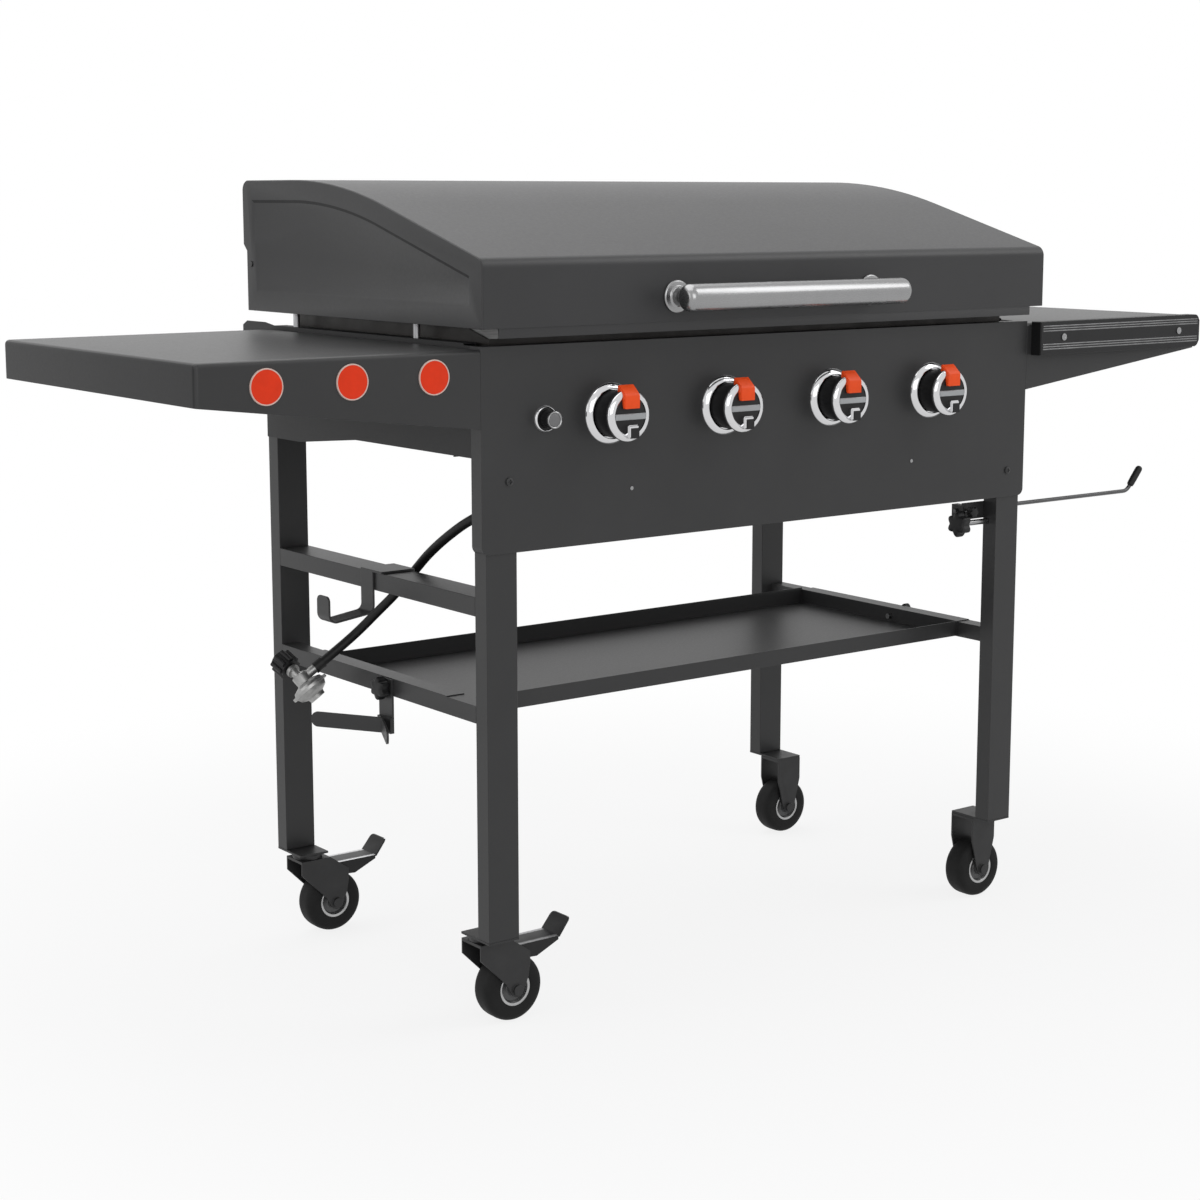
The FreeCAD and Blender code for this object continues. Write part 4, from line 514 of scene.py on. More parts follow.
HOSE_END = at(-490, 351, 421)
HOSE_WAY = Vector((-26, 4, -18)).normalized()
FERRULE_LENGTH = 15 * MM
FERRULE_REACH = 9 * MM
SLACK = 1 * MM
UPWARD = 0.9
DOWNWARD = -0.05
OUTWARD_LEFT = -0.8
SLOPED = (0.2, 0.97)
ROD_TIP = (754.4, 40.0, 594.5)
ROD_WAY = (math.cos(math.radians(50)), 0.0, math.sin(math.radians(50)))


def on_sleeve(centre, normal):
    """True beyond the rod's bare end."""
    return (centre - at(*ROD_TIP)).dot(Vector(ROD_WAY)) > -SLACK / 2


def on_ferrule(centre, normal):
    """True near the hose's axis, on its last stretch before the regulator."""
    along = (centre - HOSE_END).dot(HOSE_WAY)
    return -SLACK < along < FERRULE_LENGTH and (centre - HOSE_END).cross(HOSE_WAY).length < FERRULE_REACH


for node in PEDAL_MIDDLES:
    repaint(node, node + "_tread", lambda centre, normal: normal.z > UPWARD)
# Painted shade in the pressed step of each hood end: its downward-facing walls get the darker coat.
for node in ("hood_left_end", "hood_right_end"):
    repaint(node, "step_shade", lambda centre, normal: SLOPED[0] < abs(normal.x) < SLOPED[1] and normal.z < DOWNWARD)
# Painted shade on the left shelf's outer end: its left-facing faces get the darker coat.
repaint("left_shelf", "end_shade", lambda centre, normal: normal.x < OUTWARD_LEFT)
repaint("bag_rod", "black_plastic", on_sleeve)
skins["bag_rod"].data.materials[0] = FINISHES["rod_grey"]
repaint("regulator", "hose_rubber", on_ferrule)

# %% [markdown]
# ## Pieces that keep their CAD shape
# Inner and turned pieces that have no folded edges, such as the burners, valves and stems, only need their finish.

# %% Plain finishes
for node, piece in frame["nodes"].items():
    if node not in DRESSED:
        piece.data.materials.clear()
        piece.data.materials.append(FINISHES[slot_of_node[node]])
print("pieces left as they are or built again below:", len(frame["nodes"]) - len(DRESSED))

# %% [markdown]
# ## Turned shapes
# Knobs, rings, wheels and the handle are all round. A turned shape is a profile of (radius, distance) points
# swept round an axis. Writing the sweep as a helper gives closed, even quads and keeps the poles clean, which
# primitive cylinders with bevels would not.

# %% Sweep a profile
FRONT = (0.0, -1.0, 0.0)


def sweep(bm, profile, base, along, slot=0, segments=64):
    """Adds a closed surface of revolution. Profile runs from pole to pole, or closes on itself as a ring."""
    turn = Vector(along).to_track_quat("Z", "Y").to_matrix()
    origin = at(*base)
    rings = []
    for radius, distance in profile:
        if radius < 1e-6:
            rings.append([bm.verts.new(origin + turn @ Vector((0, 0, distance * MM)))])
            continue
        ring = []
        for index in range(segments):
            angle = 2 * math.pi * index / segments
            local = Vector((radius * math.cos(angle), radius * math.sin(angle), distance)) * MM
            ring.append(bm.verts.new(origin + turn @ local))
        rings.append(ring)
    pairs = list(zip(rings, rings[1:]))
    if len(rings[0]) > 1 and len(rings[-1]) > 1:
        pairs.append((rings[-1], rings[0]))
    for low, high in pairs:
        for index in range(segments):
            after = (index + 1) % segments
            corners = [low[index % len(low)], low[after % len(low)], high[after % len(high)], high[index % len(high)]]
            corners = list(dict.fromkeys(corners))
            if len(corners) >= 3:
                bm.faces.new(corners).material_index = slot


CORNER_SHARE = 0.45


def rounded(profile, radius, steps=4):
    """Profile with each corner replaced by a small arc-like run of points, within a share of its two sides."""
    out = [profile[0]]
    for before, here, after in zip(profile, profile[1:], profile[2:]):
        a = Vector(here) - Vector(before)
        b = Vector(after) - Vector(here)
        cut = min(radius, a.length * CORNER_SHARE, b.length * CORNER_SHARE)
        start = Vector(here) - a.normalized() * cut
        end = Vector(here) + b.normalized() * cut
        for count in range(steps + 1):
            t = count / steps
            point = start * (1 - t) ** 2 + Vector(here) * 2 * t * (1 - t) + end * t ** 2
            out.append((point.x, point.y))
    out.append(profile[-1])
    return out


print("sweep ready")

# %% [markdown]
# The knobs' grips and the tool strip aren't round. They are blocks and prisms whose edges are softened by a
# bevel, and they go into the same mesh as the turned parts.

# %% Blocks, prisms and the finished mesh


def soften_ends(bm, faces, soft, bevel, slot):
    """Gives new faces their finish and rounds the edges of the soft ones."""
    for face in faces:
        face.material_index = slot
    bmesh.ops.bevel(bm, geom=list({edge for face in soft for edge in face.edges}), offset=bevel * MM, segments=3,
                    affect="EDGES", clamp_overlap=True, material=slot)


def solid_block(bm, low, high, bevel, slot=0):
    """Adds a block between two corners with softened edges."""
    made = bmesh.ops.create_cube(bm, size=1.0)["verts"]
    size = [(b - a) * MM for a, b in zip(low, high)]
    middle = at(*[(a + b) / 2 for a, b in zip(low, high)])
    bmesh.ops.transform(bm, verts=made, matrix=Matrix.Translation(middle) @ Matrix.Diagonal(size + [1.0]))
    faces = {face for vert in made for face in vert.link_faces}
    soften_ends(bm, faces, faces, bevel, slot)


def prism(bm, near, far, bevel, slot=0, soft_ends=2):
    """Adds a prism between two loops of points; the edges of its first one or both ends are softened."""
    near = [bm.verts.new(point) for point in near]
    far = [bm.verts.new(point) for point in far]
    faces = [bm.faces.new(near), bm.faces.new(list(reversed(far)))]
    for index in range(len(near)):
        after = (index + 1) % len(near)
        faces.append(bm.faces.new((near[index], far[index], far[after], near[after])))
    soften_ends(bm, faces, faces[:soft_ends], bevel, slot)


def mesh_from(bm, name, finishes, angle=35.0):
    """Closes the work on a bmesh: outward normals, finishes and smooth shading."""
    bmesh.ops.recalc_face_normals(bm, faces=bm.faces)
    mesh = bpy.data.meshes.new(name)
    bm.to_mesh(mesh)
    bm.free()
    for label in finishes:
        mesh.materials.append(FINISHES[label])
    soften(mesh, angle)
    return mesh


def turned_object(name, body, hides, finishes, layers):
    """Piece of turned profiles; each layer is what sweep takes: profile, foot, direction, finish, segments."""
    bm = bmesh.new()
    for layer in layers:
        sweep(bm, *layer)
    finished_object(name, mesh_from(bm, name, finishes), body, hides=hides)


print("shape helpers ready")

# %% [markdown]
# ## Control knobs
# Each knob is a black moulded body with a broad bright bevel round its dished face. A steel band crosses the
# middle, an orange marker tab stands over the rim at the top so that the flame setting reads from a distance,
# and a grip with bright flanks stands below it. Each one rides on its own knob body, which is pushed in and
# then turned with the valve stem, so its back is open round the stem.

# %% Knobs
KNOB_PLACES = [185.3 * (index - 1.5) for index in range(4)]
KNOB_Z = 766.0
STEM_BORE = 3.4
SKIRT = [(0, 28), (STEM_BORE, 28), (STEM_BORE, 6.5), (29.4, 6.5), (29.4, 33.4), (28.6, 35.6), (23.8, 39.6),
         (23.3, 41), (0, 41)]
KNOB_RIM = [(28.6, 34.2), (30.6, 34.1), (32.2, 35), (32.5, 36.4), (32.3, 38), (31.4, 39.4), (29.6, 40.9), (27.4, 42),
            (25.4, 42.3), (24, 41.7), (23.8, 40.2)]
TAB = [(-46, 9), (-46, 24.5), (-44.6, 27.2), (-33.2, 37.2), (-31.4, 37.4), (-30.2, 36.2), (-30.2, 26), (-41, 20),
       (-41, 9)]
TAB_HALF = 12.0
TAB_EDGE = 1.2
# low and high corner round the knob's axis, edge radius and material slot of the face's blocks
BAND = ((-23.6, -42.2, -5), (23.6, -40.6, 2.5), 0.6, 2)
GRIP_FLANKS = ((-8.2, -48.2, -27.2), (8.2, -38, -11), 1.4, 1)
GRIP_TOP = ((-4.4, -49, -27.4), (8.4, -46.5, -14.6), 0.5, 0)


def make_knob(number, x):
    """One knob: body, rim, tab, band and grip in one mesh."""
    bm = bmesh.new()
    sweep(bm, rounded(SKIRT, radius=0.7), (x, 0, KNOB_Z), FRONT, slot=0, segments=96)
    sweep(bm, KNOB_RIM, (x, 0, KNOB_Z), FRONT, slot=1, segments=96)
    sides = [[at(x + way * TAB_HALF, y, KNOB_Z + rise) for y, rise in TAB] for way in (-1, 1)]
    prism(bm, *sides, TAB_EDGE, slot=3)
    for low, high, radius, slot in (BAND, GRIP_FLANKS, GRIP_TOP):
        low, high = ((x + a, y, KNOB_Z + z) for a, y, z in (low, high))
        solid_block(bm, low, high, radius, slot=slot)
    mesh = mesh_from(bm, "knob_%d" % number, ["black_plastic", "chrome_ring", "band_steel", "tab_orange"])
    node = "control_knob_%d" % number
    finished_object("knob_%d" % number, mesh, node, hides=[node])


for number, x in enumerate(KNOB_PLACES, 1):
    make_knob(number, x)
print("knobs:", len(KNOB_PLACES))

# %% [markdown]
# ## Bezels and igniter
# A pressed chrome ring seats each knob on the panel. It slopes up to its inner edge, which is what gives the
# broad white arc on the left and hides the far side. The igniter has the same ring in small, with a black collar
# and a push button that stands well out and shows its black side.

# %% Bezels and igniter
IGNITER = (-377.0, 0.0, 765.0)
DISH = [(6, 0), (38.7, 0), (39, 0.5), (38.8, 1.5), (37.8, 3), (36.2, 4.8), (34.4, 6.3), (32.8, 7.2), (31.6, 7.5),
        (31, 7.2), (30.8, 6.4), (30.8, 1.2), (6, 1.2)]
COLLAR = [(11.3, -22), (14, -22), (14, 0), (14.2, 0), (14.2, 3.2), (13.4, 3.8), (11.3, 3.8)]
BACK = [(0, -34), (14, -34), (14, -22), (0, -22)]
SMALL_RING = [(14.2, 0), (16.8, 0), (17, 0.4), (16.8, 1.4), (16.1, 3), (15.3, 4.4), (14.7, 5), (14.2, 4.8),
              (14.2, 3.4)]
PLUNGER = [(0, -16), (11, -16), (11, 18.8), (7.6, 19.4), (0, 19.4)]
BUTTON_RIM = [(8, 18.9), (10.9, 18.8), (11, 20.4), (10.4, 21.6), (9.4, 22), (8.5, 21.6), (8, 20.8)]
CAP = [(0, 19.4), (8, 19.4), (8, 20.9), (7, 21.3), (0, 21.5)]

turned_object("bezels", "base", ["knob_bezels"], ["chrome_ring"],
              [(DISH, (x, 0, KNOB_Z), FRONT, 0, 96) for x in KNOB_PLACES])
turned_object("igniter_body", "base", ["igniter_housing"], ["black_plastic", "chrome_ring"],
              [(profile, IGNITER, FRONT, slot) for profile, slot in ((COLLAR, 0), (BACK, 0), (SMALL_RING, 1))])
turned_object("igniter_push", "igniter_button", ["igniter_button"],
              ["black_plastic", "polished_steel", "button_grey"],
              [(profile, IGNITER, FRONT, slot) for slot, profile in enumerate((PLUNGER, BUTTON_RIM, CAP))])
print("bezels:", len(KNOB_PLACES))

# %% [markdown]
# ## Badges on the left apron
# Three plain enamelled discs in a pale metal rim stand where the real panel has round signs. They stay bare.

# %% Badges
BADGE_X = [-535.5, -645.5, -755.5]
BADGE_Z = 822.5
BADGE_DISC = [(0, 0.2), (19.4, 0.2), (19.4, 1.3), (17.5, 1.55), (0, 1.75)]
BADGE_RIM = [(19.4, 0), (21, 0), (21, 1.2), (20.6, 1.9), (19.9, 2), (19.4, 1.5)]

turned_object("badges", "base", ["shelf_badges"], ["badge_orange", "rim_pale"],
              [(profile, (x, 0, BADGE_Z), FRONT, slot, 72)
               for x in BADGE_X for slot, profile in enumerate((BADGE_DISC, BADGE_RIM))])
print("badges:", len(BADGE_X))

# %% [markdown]
# ## Hood handle
# A polished tube with domed ends on two turned posts. A sweep along X gives the highlight one unbroken line.

# %% Handle
HANDLE_Y = -63.0
HANDLE_Z = 908.0
HANDLE_ENDS = (-213.0, 165.0)
DOME = 10.2
FLAT_END = 6.8
POST_X = (-189.0, 141.0)
HOOD_FACE = -19.0
POST = [(0, 0), (20.5, 0), (20.5, 2.6), (19, 4), (13.5, 4.4), (11.4, 6.5), (11, 10), (11, 31), (0, 31)]

tube = [(0, 0)]
for count in range(1, 9):
    angle = math.pi / 2 * count / 8
    tube.append((FLAT_END + DOME * math.sin(angle), DOME * (1 - math.cos(angle))))
tube += [(radius, HANDLE_ENDS[1] - HANDLE_ENDS[0] - distance) for radius, distance in reversed(tube)]
turned_object("handle", "hood", ["hood_handle"], ["polished_steel"],
              [(tube, (HANDLE_ENDS[0], HANDLE_Y, HANDLE_Z), (1, 0, 0), 0, 72)]
              + [(rounded(POST, radius=0.8), (x, HOOD_FACE, HANDLE_Z), FRONT) for x in POST_X])
print("handle length:", HANDLE_ENDS[1] - HANDLE_ENDS[0])

# %% [markdown]
# ## Shapes that follow a rule
# Screw heads, ridges, lobes and turned wheels repeat or follow a circle, so Geometry Nodes make them: the rule is
# written once as a tree, and its named inputs give each place its own size. Helpers keep the trees short: one opens
# a tree and one closes it, three give common values, and one runs the tree on a mesh and hands back plain faces.

# %% Geometry-node helpers


def growth_tree(name, inputs, finishes=("Finish",)):
    """Empty geometry tree with a Geometry input and output, named inputs and its finishes."""
    kinds = {int: "Int", float: "Float", tuple: "Vector"}
    values = {label: (kinds[type(start)], start) for label, start in inputs.items()}
    materials = {label: ("Material", None) for label in finishes}
    tree, node, given = open_tree(name, "GeometryNodeTree", {"Geometry": ("Geometry", None), **values, **materials},
                                  {"Geometry": "Geometry"})
    return tree, node, given, tree.nodes.new("NodeGroupOutput")


def close_tree(tree, geometry, finish_socket, group_out):
    """Realize Instances and Set Material at the end of every tree."""
    real = step(tree, "GeometryNodeRealizeInstances", {"Geometry": geometry})
    plug(tree, group_out, {0: step(tree, "GeometryNodeSetMaterial", {"Geometry": real, "Material": finish_socket})})


def polar(tree):
    """Height, angle and distance from the axis of each point, with its x and y."""
    times, minus, plus = sums(tree)
    x, y, z = step(tree, "ShaderNodeSeparateXYZ", {0: step(tree, "GeometryNodeInputPosition")}).outputs
    return z, calc(tree, "ARCTAN2", y, x), calc(tree, "SQRT", plus(times(x, x), times(y, y))), x, y


def facing_way(tree, way):
    """Rotation that turns Z to a direction."""
    return step(tree, "FunctionNodeAlignRotationToVector", {"Vector": way}, axis="Z")


def named(tree, label, kind="FLOAT_VECTOR"):
    """Value that an attribute of that name holds."""
    return step(tree, "GeometryNodeInputNamedAttribute", {"Name": label}, data_type=kind)


def grow(tree, mesh=None, **values):
    """Runs a tree on a mesh, or on one point, and returns the plain mesh that comes out."""
    seed = bpy.data.objects.new(tree.name + "_seed", mesh or points_mesh("point", [(0, 0, 0)]))
    scene.collection.objects.link(seed)
    growth = seed.modifiers.new("growth", "NODES")
    growth.node_group = tree
    for item in tree.interface.items_tree:
        label = item.name.lower().replace(" ", "_")
        if item.in_out == "INPUT" and label in values:
            growth[item.identifier] = values[label]
    depsgraph = bpy.context.evaluated_depsgraph_get()
    grown = bpy.data.meshes.new_from_object(seed.evaluated_get(depsgraph))
    bpy.data.objects.remove(seed)
    return grown


def add_mesh(bm, mesh, slot):
    """Adds a grown mesh to the work in hand, in one material slot."""
    known = set(bm.faces)
    bm.from_mesh(mesh)
    for face in bm.faces:
        if face not in known:
            face.material_index = slot


def points_mesh(name, points, edges=(), **layers):
    """Mesh of bare points, with one vector for each in every named layer."""
    mesh = bpy.data.meshes.new(name)
    mesh.from_pydata([tuple(point) for point in points], edges, [])
    for label, rows in layers.items():
        for cell, row in zip(mesh.attributes.new(label, "FLOAT_VECTOR", "POINT").data, rows):
            cell.vector = row
    return mesh


print("tree helpers ready")

# %% [markdown]
# ## Screw heads and spacers
# Two countersunk-look panel bolts, four blind rivets and the four spacers behind the shelves are all a round head
# on a face. The tree stands one head on every point, turned to the point's direction and scaled to its size. The
# head is a cylinder whose top is domed and dented by a formula: four lobes make a cross recess, none a round dimple.

# %% Fasteners
HALFWAY = 0.5
LOBE_DEPTH = 0.55
DENT_FLOOR = 0.8
TOP_SHARE = 0.9


def heads_tree():
    """Domed heads with a dent of any number of lobes, one on each point."""
    tree, node, given, out = growth_tree("heads_on_points", {
        "Sides": 4.0, "Recess": 0.6, "Recess Depth": 0.35, "Dome": 0.45})
    times, minus, plus = sums(tree)
    head = node("GeometryNodeMeshCylinder", {"Vertices": 40, "Side Segments": 2, "Fill Segments": 12,
                                             "Radius": 1.0, "Depth": 1.0}, fill_type="TRIANGLE_FAN")
    height, angle, reach, x, y = polar(tree)
    level = plus(height, HALFWAY)
    dome = minus(1.0, times(given["Dome"], times(reach, reach)))
    wave = calc(tree, "SINE", times(times(given["Sides"], angle), 0.5))
    edge = times(given["Recess"], minus(1.0, times(LOBE_DEPTH, times(wave, wave))))
    dent = node("ShaderNodeMapRange", {
        "Value": reach, "From Min": times(edge, DENT_FLOOR), "From Max": edge, "To Min": given["Recess Depth"],
        "To Max": 0.0}, interpolation_type="SMOOTHSTEP")
    on_top = calc(tree, "GREATER_THAN", level, TOP_SHARE)
    tall = minus(times(level, dome), times(on_top, dent))
    spot = node("ShaderNodeCombineXYZ", {"X": x, "Y": y, "Z": tall})
    shaped = node("GeometryNodeSetPosition", {"Geometry": head, "Position": spot})
    stood = node("GeometryNodeInstanceOnPoints", {
        "Points": given["Geometry"], "Instance": shaped, "Rotation": facing_way(tree, named(tree, "facing")),
        "Scale": named(tree, "span")})
    close_tree(tree, stood, given["Finish"], out)
    return tree


HEADS = heads_tree()
STRIP_MIDDLE = 831.0
BOLTS = [(at(-430, 0, 692), FRONT, (5, 5, 3)), (at(436, 0, 643), FRONT, (5, 5, 3))]
RIVETS = [(at(-244, 0, 670), FRONT, (2.5, 2.5, 1)), (at(244, 0, 670), FRONT, (2.5, 2.5, 1)),
          (at(527.5, -18, STRIP_MIDDLE), FRONT, (5, 5, 2.2)), (at(782.5, -18, STRIP_MIDDLE), FRONT, (5, 5, 2.2))]
SPACERS = [(at(side * 464.5, y, 807), (side, 0.0, 0.0), (7, 7, 5.5)) for side in (-1, 1) for y in (90, 430)]


def heads_at(rows, **values):
    """Heads at rows of (place, direction, size)."""
    places, ways, sizes = zip(*rows)
    mesh = points_mesh("head_places", places, facing=ways, span=[Vector(size) * MM for size in sizes])
    return grow(HEADS, mesh, **values)


bm = bmesh.new()
add_mesh(bm, heads_at(BOLTS, sides=4.0, recess=0.62, recess_depth=0.4, dome=0.4), 0)
add_mesh(bm, heads_at(RIVETS, sides=0.0, recess=0.35, recess_depth=0.25, dome=0.4), 1)
add_mesh(bm, heads_at(SPACERS, sides=0.0, recess=0.0, recess_depth=0.0, dome=0.0), 2)
mesh = mesh_from(bm, "screw_heads", ["panel_coat", "polished_steel", "zinc_plate"])
finished_object("screw_heads", mesh, "base", hides=["fasteners"])
print("heads:", len(BOLTS) + len(RIVETS) + len(SPACERS))

# %% [markdown]
# ## Tool strip
# The magnetic strip on the right apron is a black bar with two bands of steel ridges, which catch the light as
# streaks. The ridges repeat up the band, so a tree stands a round bar on each row. The bar itself is a prism of
# its end outline, because only its right-hand end is rounded off.

# %% Tool strip
STRIP = (479.0, 831.0, 806.0, 854.0)
STRIP_DEPTH = 18.0
ROUND_END = 9.0
RIDGE_LEVELS = (-16.5, 9.5)
RIDGE_INSET = 5.0
RIDGE_PITCH = 3.4
RIDGE_RADIUS = 1.15
RIDGE_SINK = 0.75
STRIP_EDGE = 1.2


def ridges_tree():
    """Round bars one above the other."""
    tree, node, given, out = growth_tree("ridges_on_rows", {
        "Rows": 3, "Pitch": 0.0022, "Length": 0.34, "Ridge Radius": 0.0013, "Start": (0.0, 0.0, 0.0)})
    rise = node("ShaderNodeCombineXYZ", {"Z": given["Pitch"]})
    rows = node("GeometryNodeMeshLine", {
        "Count": given["Rows"], "Start Location": given["Start"], "Offset": rise})
    far = node("ShaderNodeCombineXYZ", {"X": given["Length"]})
    path = node("GeometryNodeCurvePrimitiveLine", {"End": far})
    section = node("GeometryNodeCurvePrimitiveCircle", {"Resolution": 16, "Radius": given["Ridge Radius"]})
    ridge = node("GeometryNodeCurveToMesh", {"Curve": path, "Profile Curve": section, "Fill Caps": True})
    stood = node("GeometryNodeInstanceOnPoints", {"Points": rows, "Instance": ridge})
    close_tree(tree, stood, given["Finish"], out)
    return tree


x0, x1, low, high = STRIP
bm = bmesh.new()
outline = [(x0 + 1, low), (x0, low + 1), (x0, high - 1), (x0 + 1, high)]
for centre_z, turns, way in ((high - ROUND_END, range(0, 7), 1), (low + ROUND_END, range(6, -1, -1), -1)):
    for turn in turns:
        angle = math.radians(90 - 15 * turn)
        outline.append((x1 - ROUND_END * (1 - math.cos(angle)), centre_z + way * ROUND_END * math.sin(angle)))
front, back = ([at(x, y, z) for x, z in outline] for y in (-STRIP_DEPTH, 0))
prism(bm, front, back, STRIP_EDGE, soft_ends=1)
tree = ridges_tree()
for level in RIDGE_LEVELS:
    start = at(x0 + RIDGE_INSET, -STRIP_DEPTH + RIDGE_SINK, STRIP_MIDDLE + level)
    ridges = grow(tree, rows=3, pitch=RIDGE_PITCH * MM, length=(x1 - x0 - 2 * RIDGE_INSET) * MM,
                  ridge_radius=RIDGE_RADIUS * MM, start=tuple(start))
    add_mesh(bm, ridges, 1)
mesh = mesh_from(bm, "magnet_strip", ["black_plastic", "rail_steel"])
finished_object("magnet_strip", mesh, "base", hides=["tool_strip"])
print("strip ridges:", 3 * len(RIDGE_LEVELS))

# %% [markdown]
# ## Star knobs
# Four hand knobs hold the tray, the bottle cradle, the rod and the leg. Their grip is a round head with lobes, and
# a lobe is only a wave on the radius: the distance from the axis is scaled by a sine of the angle. The same
# formula pulls the rims in, so no bevel is needed. A stud stands out of the back.

# %% Star knobs
WAIST_PULL = 0.1
CROWN_PULL = 0.14
STUD_SINK = 0.9 * MM


def star_tree():
    """Lobed grip with a stud, stood at a place and turned to a direction."""
    tree, node, given, out = growth_tree("star_knob", {
        "Lobes": 6.0, "Radius": 0.0155, "Thickness": 0.015, "Waist": 0.26, "Stud Radius": 0.004, "Stud Length": 0.03,
        "Place": (0.0, 0.0, 0.0), "Way": (0.0, 0.0, 1.0)}, finishes=("Finish", "Stud Finish"))
    times, minus, plus = sums(tree)
    head = node("GeometryNodeMeshCylinder", {
        "Vertices": 96, "Side Segments": 10, "Fill Segments": 8, "Radius": given["Radius"],
        "Depth": given["Thickness"]}, fill_type="TRIANGLE_FAN")
    height, angle, reach, x, y = polar(tree)
    wave = calc(tree, "SINE", times(times(given["Lobes"], angle), 0.5))
    lobed = minus(1.0, times(given["Waist"], times(wave, wave)))
    lift = times(given["Thickness"], 0.5)
    level = calc(tree, "DIVIDE", calc(tree, "ABSOLUTE", height), lift)
    scale = times(lobed, minus(1.0, times(WAIST_PULL, calc(tree, "POWER", level, 6.0))))
    share = calc(tree, "DIVIDE", reach, given["Radius"])
    crown = minus(1.0, times(CROWN_PULL, calc(tree, "POWER", share, 5.0)))
    spot = node("ShaderNodeCombineXYZ", {
        "X": times(x, scale), "Y": times(y, scale), "Z": plus(times(height, crown), lift)})
    shaped = node("GeometryNodeSetPosition", {"Geometry": head, "Position": spot})
    stud = node("GeometryNodeMeshCylinder", {
        "Vertices": 32, "Radius": given["Stud Radius"], "Depth": given["Stud Length"]})
    down = node("ShaderNodeCombineXYZ", {"Z": plus(times(given["Stud Length"], -0.5), STUD_SINK)})
    sunk = node("GeometryNodeTransform", {"Geometry": stud, "Translation": down})
    marked = node("GeometryNodeStoreNamedAttribute", {"Geometry": sunk, "Name": "is_stud", "Value": True},
                  data_type="BOOLEAN", domain="FACE")
    both = node("GeometryNodeJoinGeometry")
    for half in (shaped, marked):
        plug(tree, both, {0: half})
    placed = node("GeometryNodeTransform", {
        "Geometry": both, "Translation": given["Place"], "Rotation": facing_way(tree, given["Way"])})
    real = node("GeometryNodeRealizeInstances", {"Geometry": placed})
    grip = node("GeometryNodeSetMaterial", {"Geometry": real, "Material": given["Finish"]})
    metal = node("GeometryNodeSetMaterial", {
        "Geometry": grip, "Selection": named(tree, "is_stud", "BOOLEAN"), "Material": given["Stud Finish"]})
    plug(tree, out, {0: metal})
    return tree


STAR = star_tree()
# place, direction, head radius, head thickness, stud radius, stud length
STAR_KNOBS = {
    "bracket_knob": (at(-466, 233, 404), (-1.0, 0.0, 0.0), 15.5, 15.0, 4.0, 35.2),
    "shelf_knob": (at(463, 233, 396), (1.0, 0.0, 0.0), 15.5, 15.0, 4.0, 32.2),
    "leg_knob": (at(371, 20, 569), (-1.0, 0.0, 0.0), 18.5, 17.0, 4.0, 56.5),
    "rod_lock_knob": (at(382, 20, 585), FRONT, 8.5, 12.0, 3.0, 16.7),
}
for node, (place, way, radius, thickness, stud_radius, stud_length) in STAR_KNOBS.items():
    mesh = grow(STAR, radius=radius * MM, thickness=thickness * MM, stud_radius=stud_radius * MM,
                stud_length=stud_length * MM, place=tuple(place), way=way,
                finish=FINISHES["black_plastic"], stud_finish=FINISHES["polished_steel"])
    soften(mesh, 40)
    mesh.name = node + "_lobed"
    finished_object(node + "_lobed", mesh, node, hides=[node])
print("star knobs:", len(STAR_KNOBS))

# %% [markdown]
# ## Grip of the bag rod
# The rod's tip carries a moulded rubber grip with a domed end, so that a bag slides over it and the steel can't
# scratch. It is turned like the knobs and rides with the rod.

# %% Rod grip
GRIP = [(0, -1.5), (4.2, -1.5), (4.9, -0.6), (5.2, 2), (5.4, 10), (5.4, 26), (5.2, 29.6), (4.3, 31.8), (2.5, 33.2),
        (0, 33.6)]
turned_object("rod_grip", "bag_rod", (), ["hose_rubber"],
              [(rounded(GRIP, radius=0.6), ROD_TIP, ROD_WAY, 0, 48)])
print("grip length:", GRIP[-1][1] - GRIP[0][1])

# %% [markdown]
# ## Caster wheels
# A soft black tyre is moulded round a grey hub with a bright rim and a boss for the axle. A wheel is the purest
# rule there is, a section carried round a circle, so its section is drawn as a loop of edges and a tree carries
# it round and stands it on the axle. Tyre, hub and rim are three sections joined into one mesh, so the wheel
# rolls as one piece.

# %% Wheels
WHEELS = {
    "front_left_wheel": (-406.5, 45.0), "rear_left_wheel": (-406.5, 492.0),
    "front_right_wheel": (440.5, 52.5), "rear_right_wheel": (440.5, 484.5),
}
AXLE_HEIGHT = 43.0
AXLE_CIRCLE = 20.0
TYRE = [(23, 16), (24, 16.7), (26, 17), (33, 17), (36.6, 16.6), (39.4, 15.4), (41.4, 13.2), (42.6, 10), (43, 6),
        (43, 2)]
HUB = [(4.1, 18), (8, 18), (8.8, 17.4), (9.4, 12.4), (10.6, 11.4), (15.4, 10.6), (16.8, 11), (17.8, 13)]
RIM = [(17.9, 12), (18.2, 14.8), (19.2, 16.3), (20.8, 16.9), (22.4, 16.6), (23, 15.4), (23, 12)]


def turned_tree():
    """Carries a section round a circle and stands the ring on its axle."""
    tree, node, given, out = growth_tree("section_round_circle", {
        "Segments": 96, "Circle Radius": 0.02, "Place": (0.0, 0.0, 0.0), "Way": (0.0, 0.0, 1.0)})
    section = node("GeometryNodeMeshToCurve", {"Mesh": given["Geometry"]})
    circle = node("GeometryNodeCurvePrimitiveCircle", {
        "Resolution": given["Segments"], "Radius": given["Circle Radius"]})
    turned = node("GeometryNodeCurveToMesh", {"Curve": circle, "Profile Curve": section})
    placed = node("GeometryNodeTransform", {
        "Geometry": turned, "Translation": given["Place"], "Rotation": facing_way(tree, given["Way"])})
    close_tree(tree, placed, given["Finish"], out)
    return tree


TURNED = turned_tree()


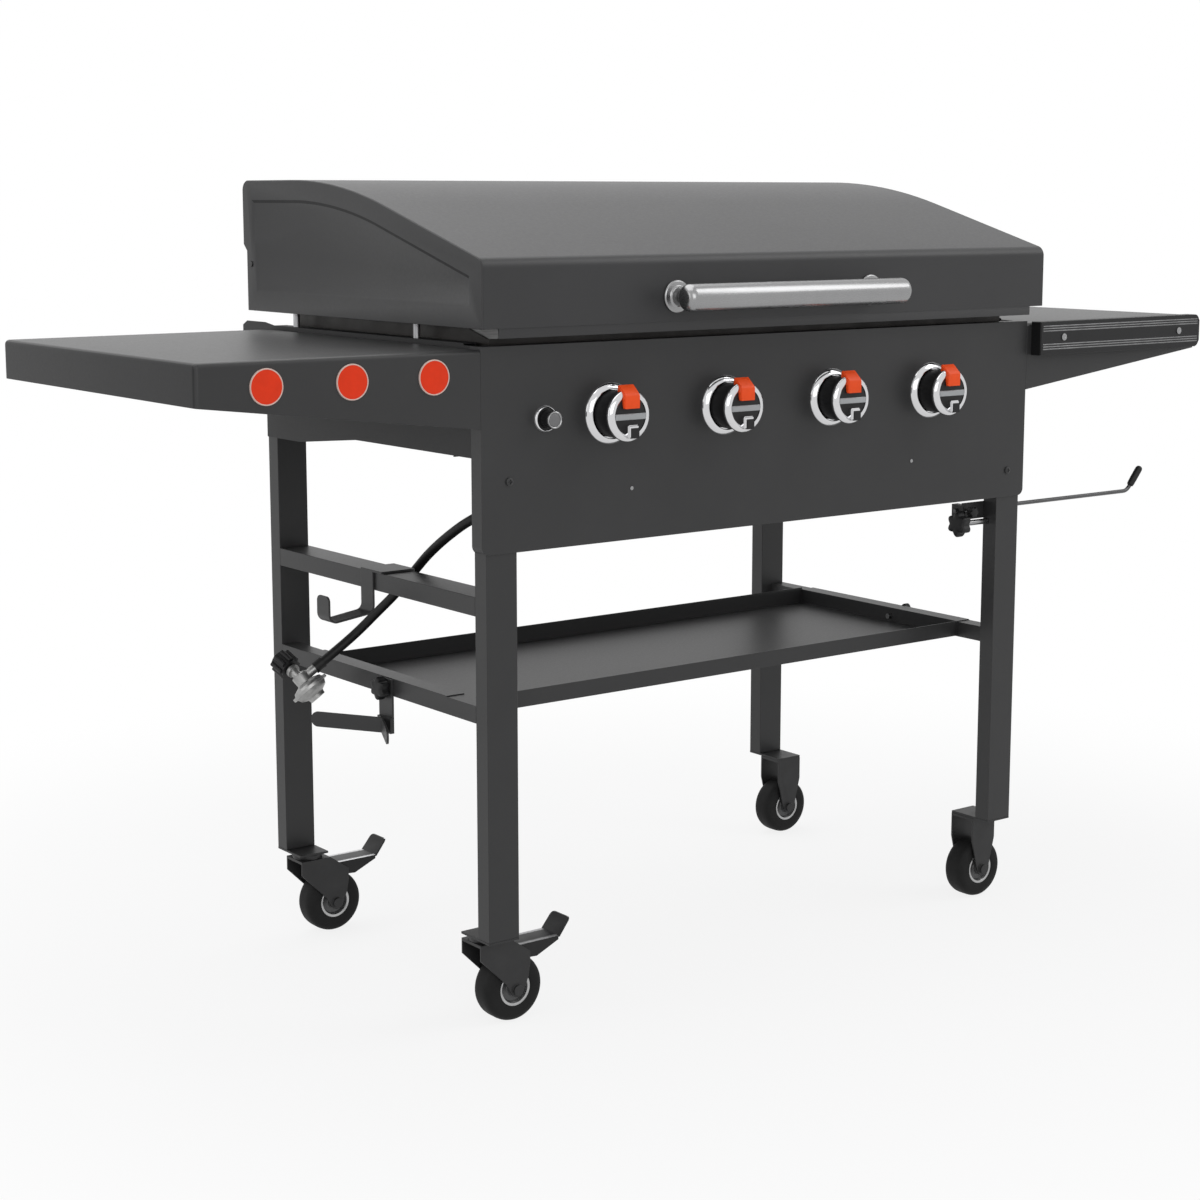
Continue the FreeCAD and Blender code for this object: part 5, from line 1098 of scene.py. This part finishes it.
def turned_mesh(section, centre, way):
    """Carries a closed section of (radius, distance) points round an axle."""
    points = [((radius - AXLE_CIRCLE) * MM, -distance * MM, 0.0) for radius, distance in section]
    edges = [(index, (index + 1) % len(points)) for index in range(len(points))]
    return grow(TURNED, points_mesh("section", points, edges), segments=96, circle_radius=AXLE_CIRCLE * MM,
                place=tuple(at(*centre)), way=way)


def make_wheel(node, x, y):
    """Tyre, hub and both rims of one wheel in one mesh."""
    bm = bmesh.new()
    centre = (x, y, AXLE_HEIGHT)
    for slot, side in ((0, TYRE), (1, HUB)):
        whole = side + [(radius, -distance) for radius, distance in reversed(side)]
        add_mesh(bm, turned_mesh(whole, centre, (0.0, 1.0, 0.0)), slot)
    for way in (1.0, -1.0):
        add_mesh(bm, turned_mesh(RIM, centre, (0.0, way, 0.0)), 2)
    mesh = mesh_from(bm, node + "_turned", ["tyre_rubber", "hub_grey", "hub_ring"], angle=30)
    finished_object(node + "_turned", mesh, node, hides=[node])


for node, (x, y) in WHEELS.items():
    make_wheel(node, x, y)
print("wheels:", len(WHEELS))

# %% [markdown]
# ## The gas hose
# The hose leaves the manifold behind the panel, comes out below the box, passes inside the upper crossbar and
# drops to the regulator. It is one smooth NURBS line through the route of the drawing, with a round section.

# %% Hose
HOSE_ROUTE = [
    (-362, 34, 716), (-362, 34, 690), (-366, 47, 675), (-374, 74, 659), (-385, 107, 642), (-395, 145, 624),
    (-401, 184, 600), (-404, 221, 575), (-405, 252, 550), (-406, 277, 529), (-410, 302, 507), (-421, 326, 483),
    (-440, 340, 459), (-464, 347, 439), (-490, 351, 421),
]
HOSE_RADIUS = 6.2

curve = bpy.data.curves.new("hose", "CURVE")
curve.dimensions = "3D"
spline = curve.splines.new("NURBS")
spline.points.add(len(HOSE_ROUTE) - 1)
for point, place in zip(spline.points, HOSE_ROUTE):
    point.co = (*at(*place), 1.0)
spline.order_u = 3
spline.use_endpoint_u = True
spline.resolution_u = 12
curve.bevel_depth = HOSE_RADIUS * MM
curve.bevel_resolution = 8
curve.use_fill_caps = True
curve.materials.append(FINISHES["hose_rubber"])
hose = bpy.data.objects.new("hose", curve)
scene.collection.objects.link(hose)
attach(hose, "base")
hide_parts("gas_hose")
print("hose route points:", len(HOSE_ROUTE))
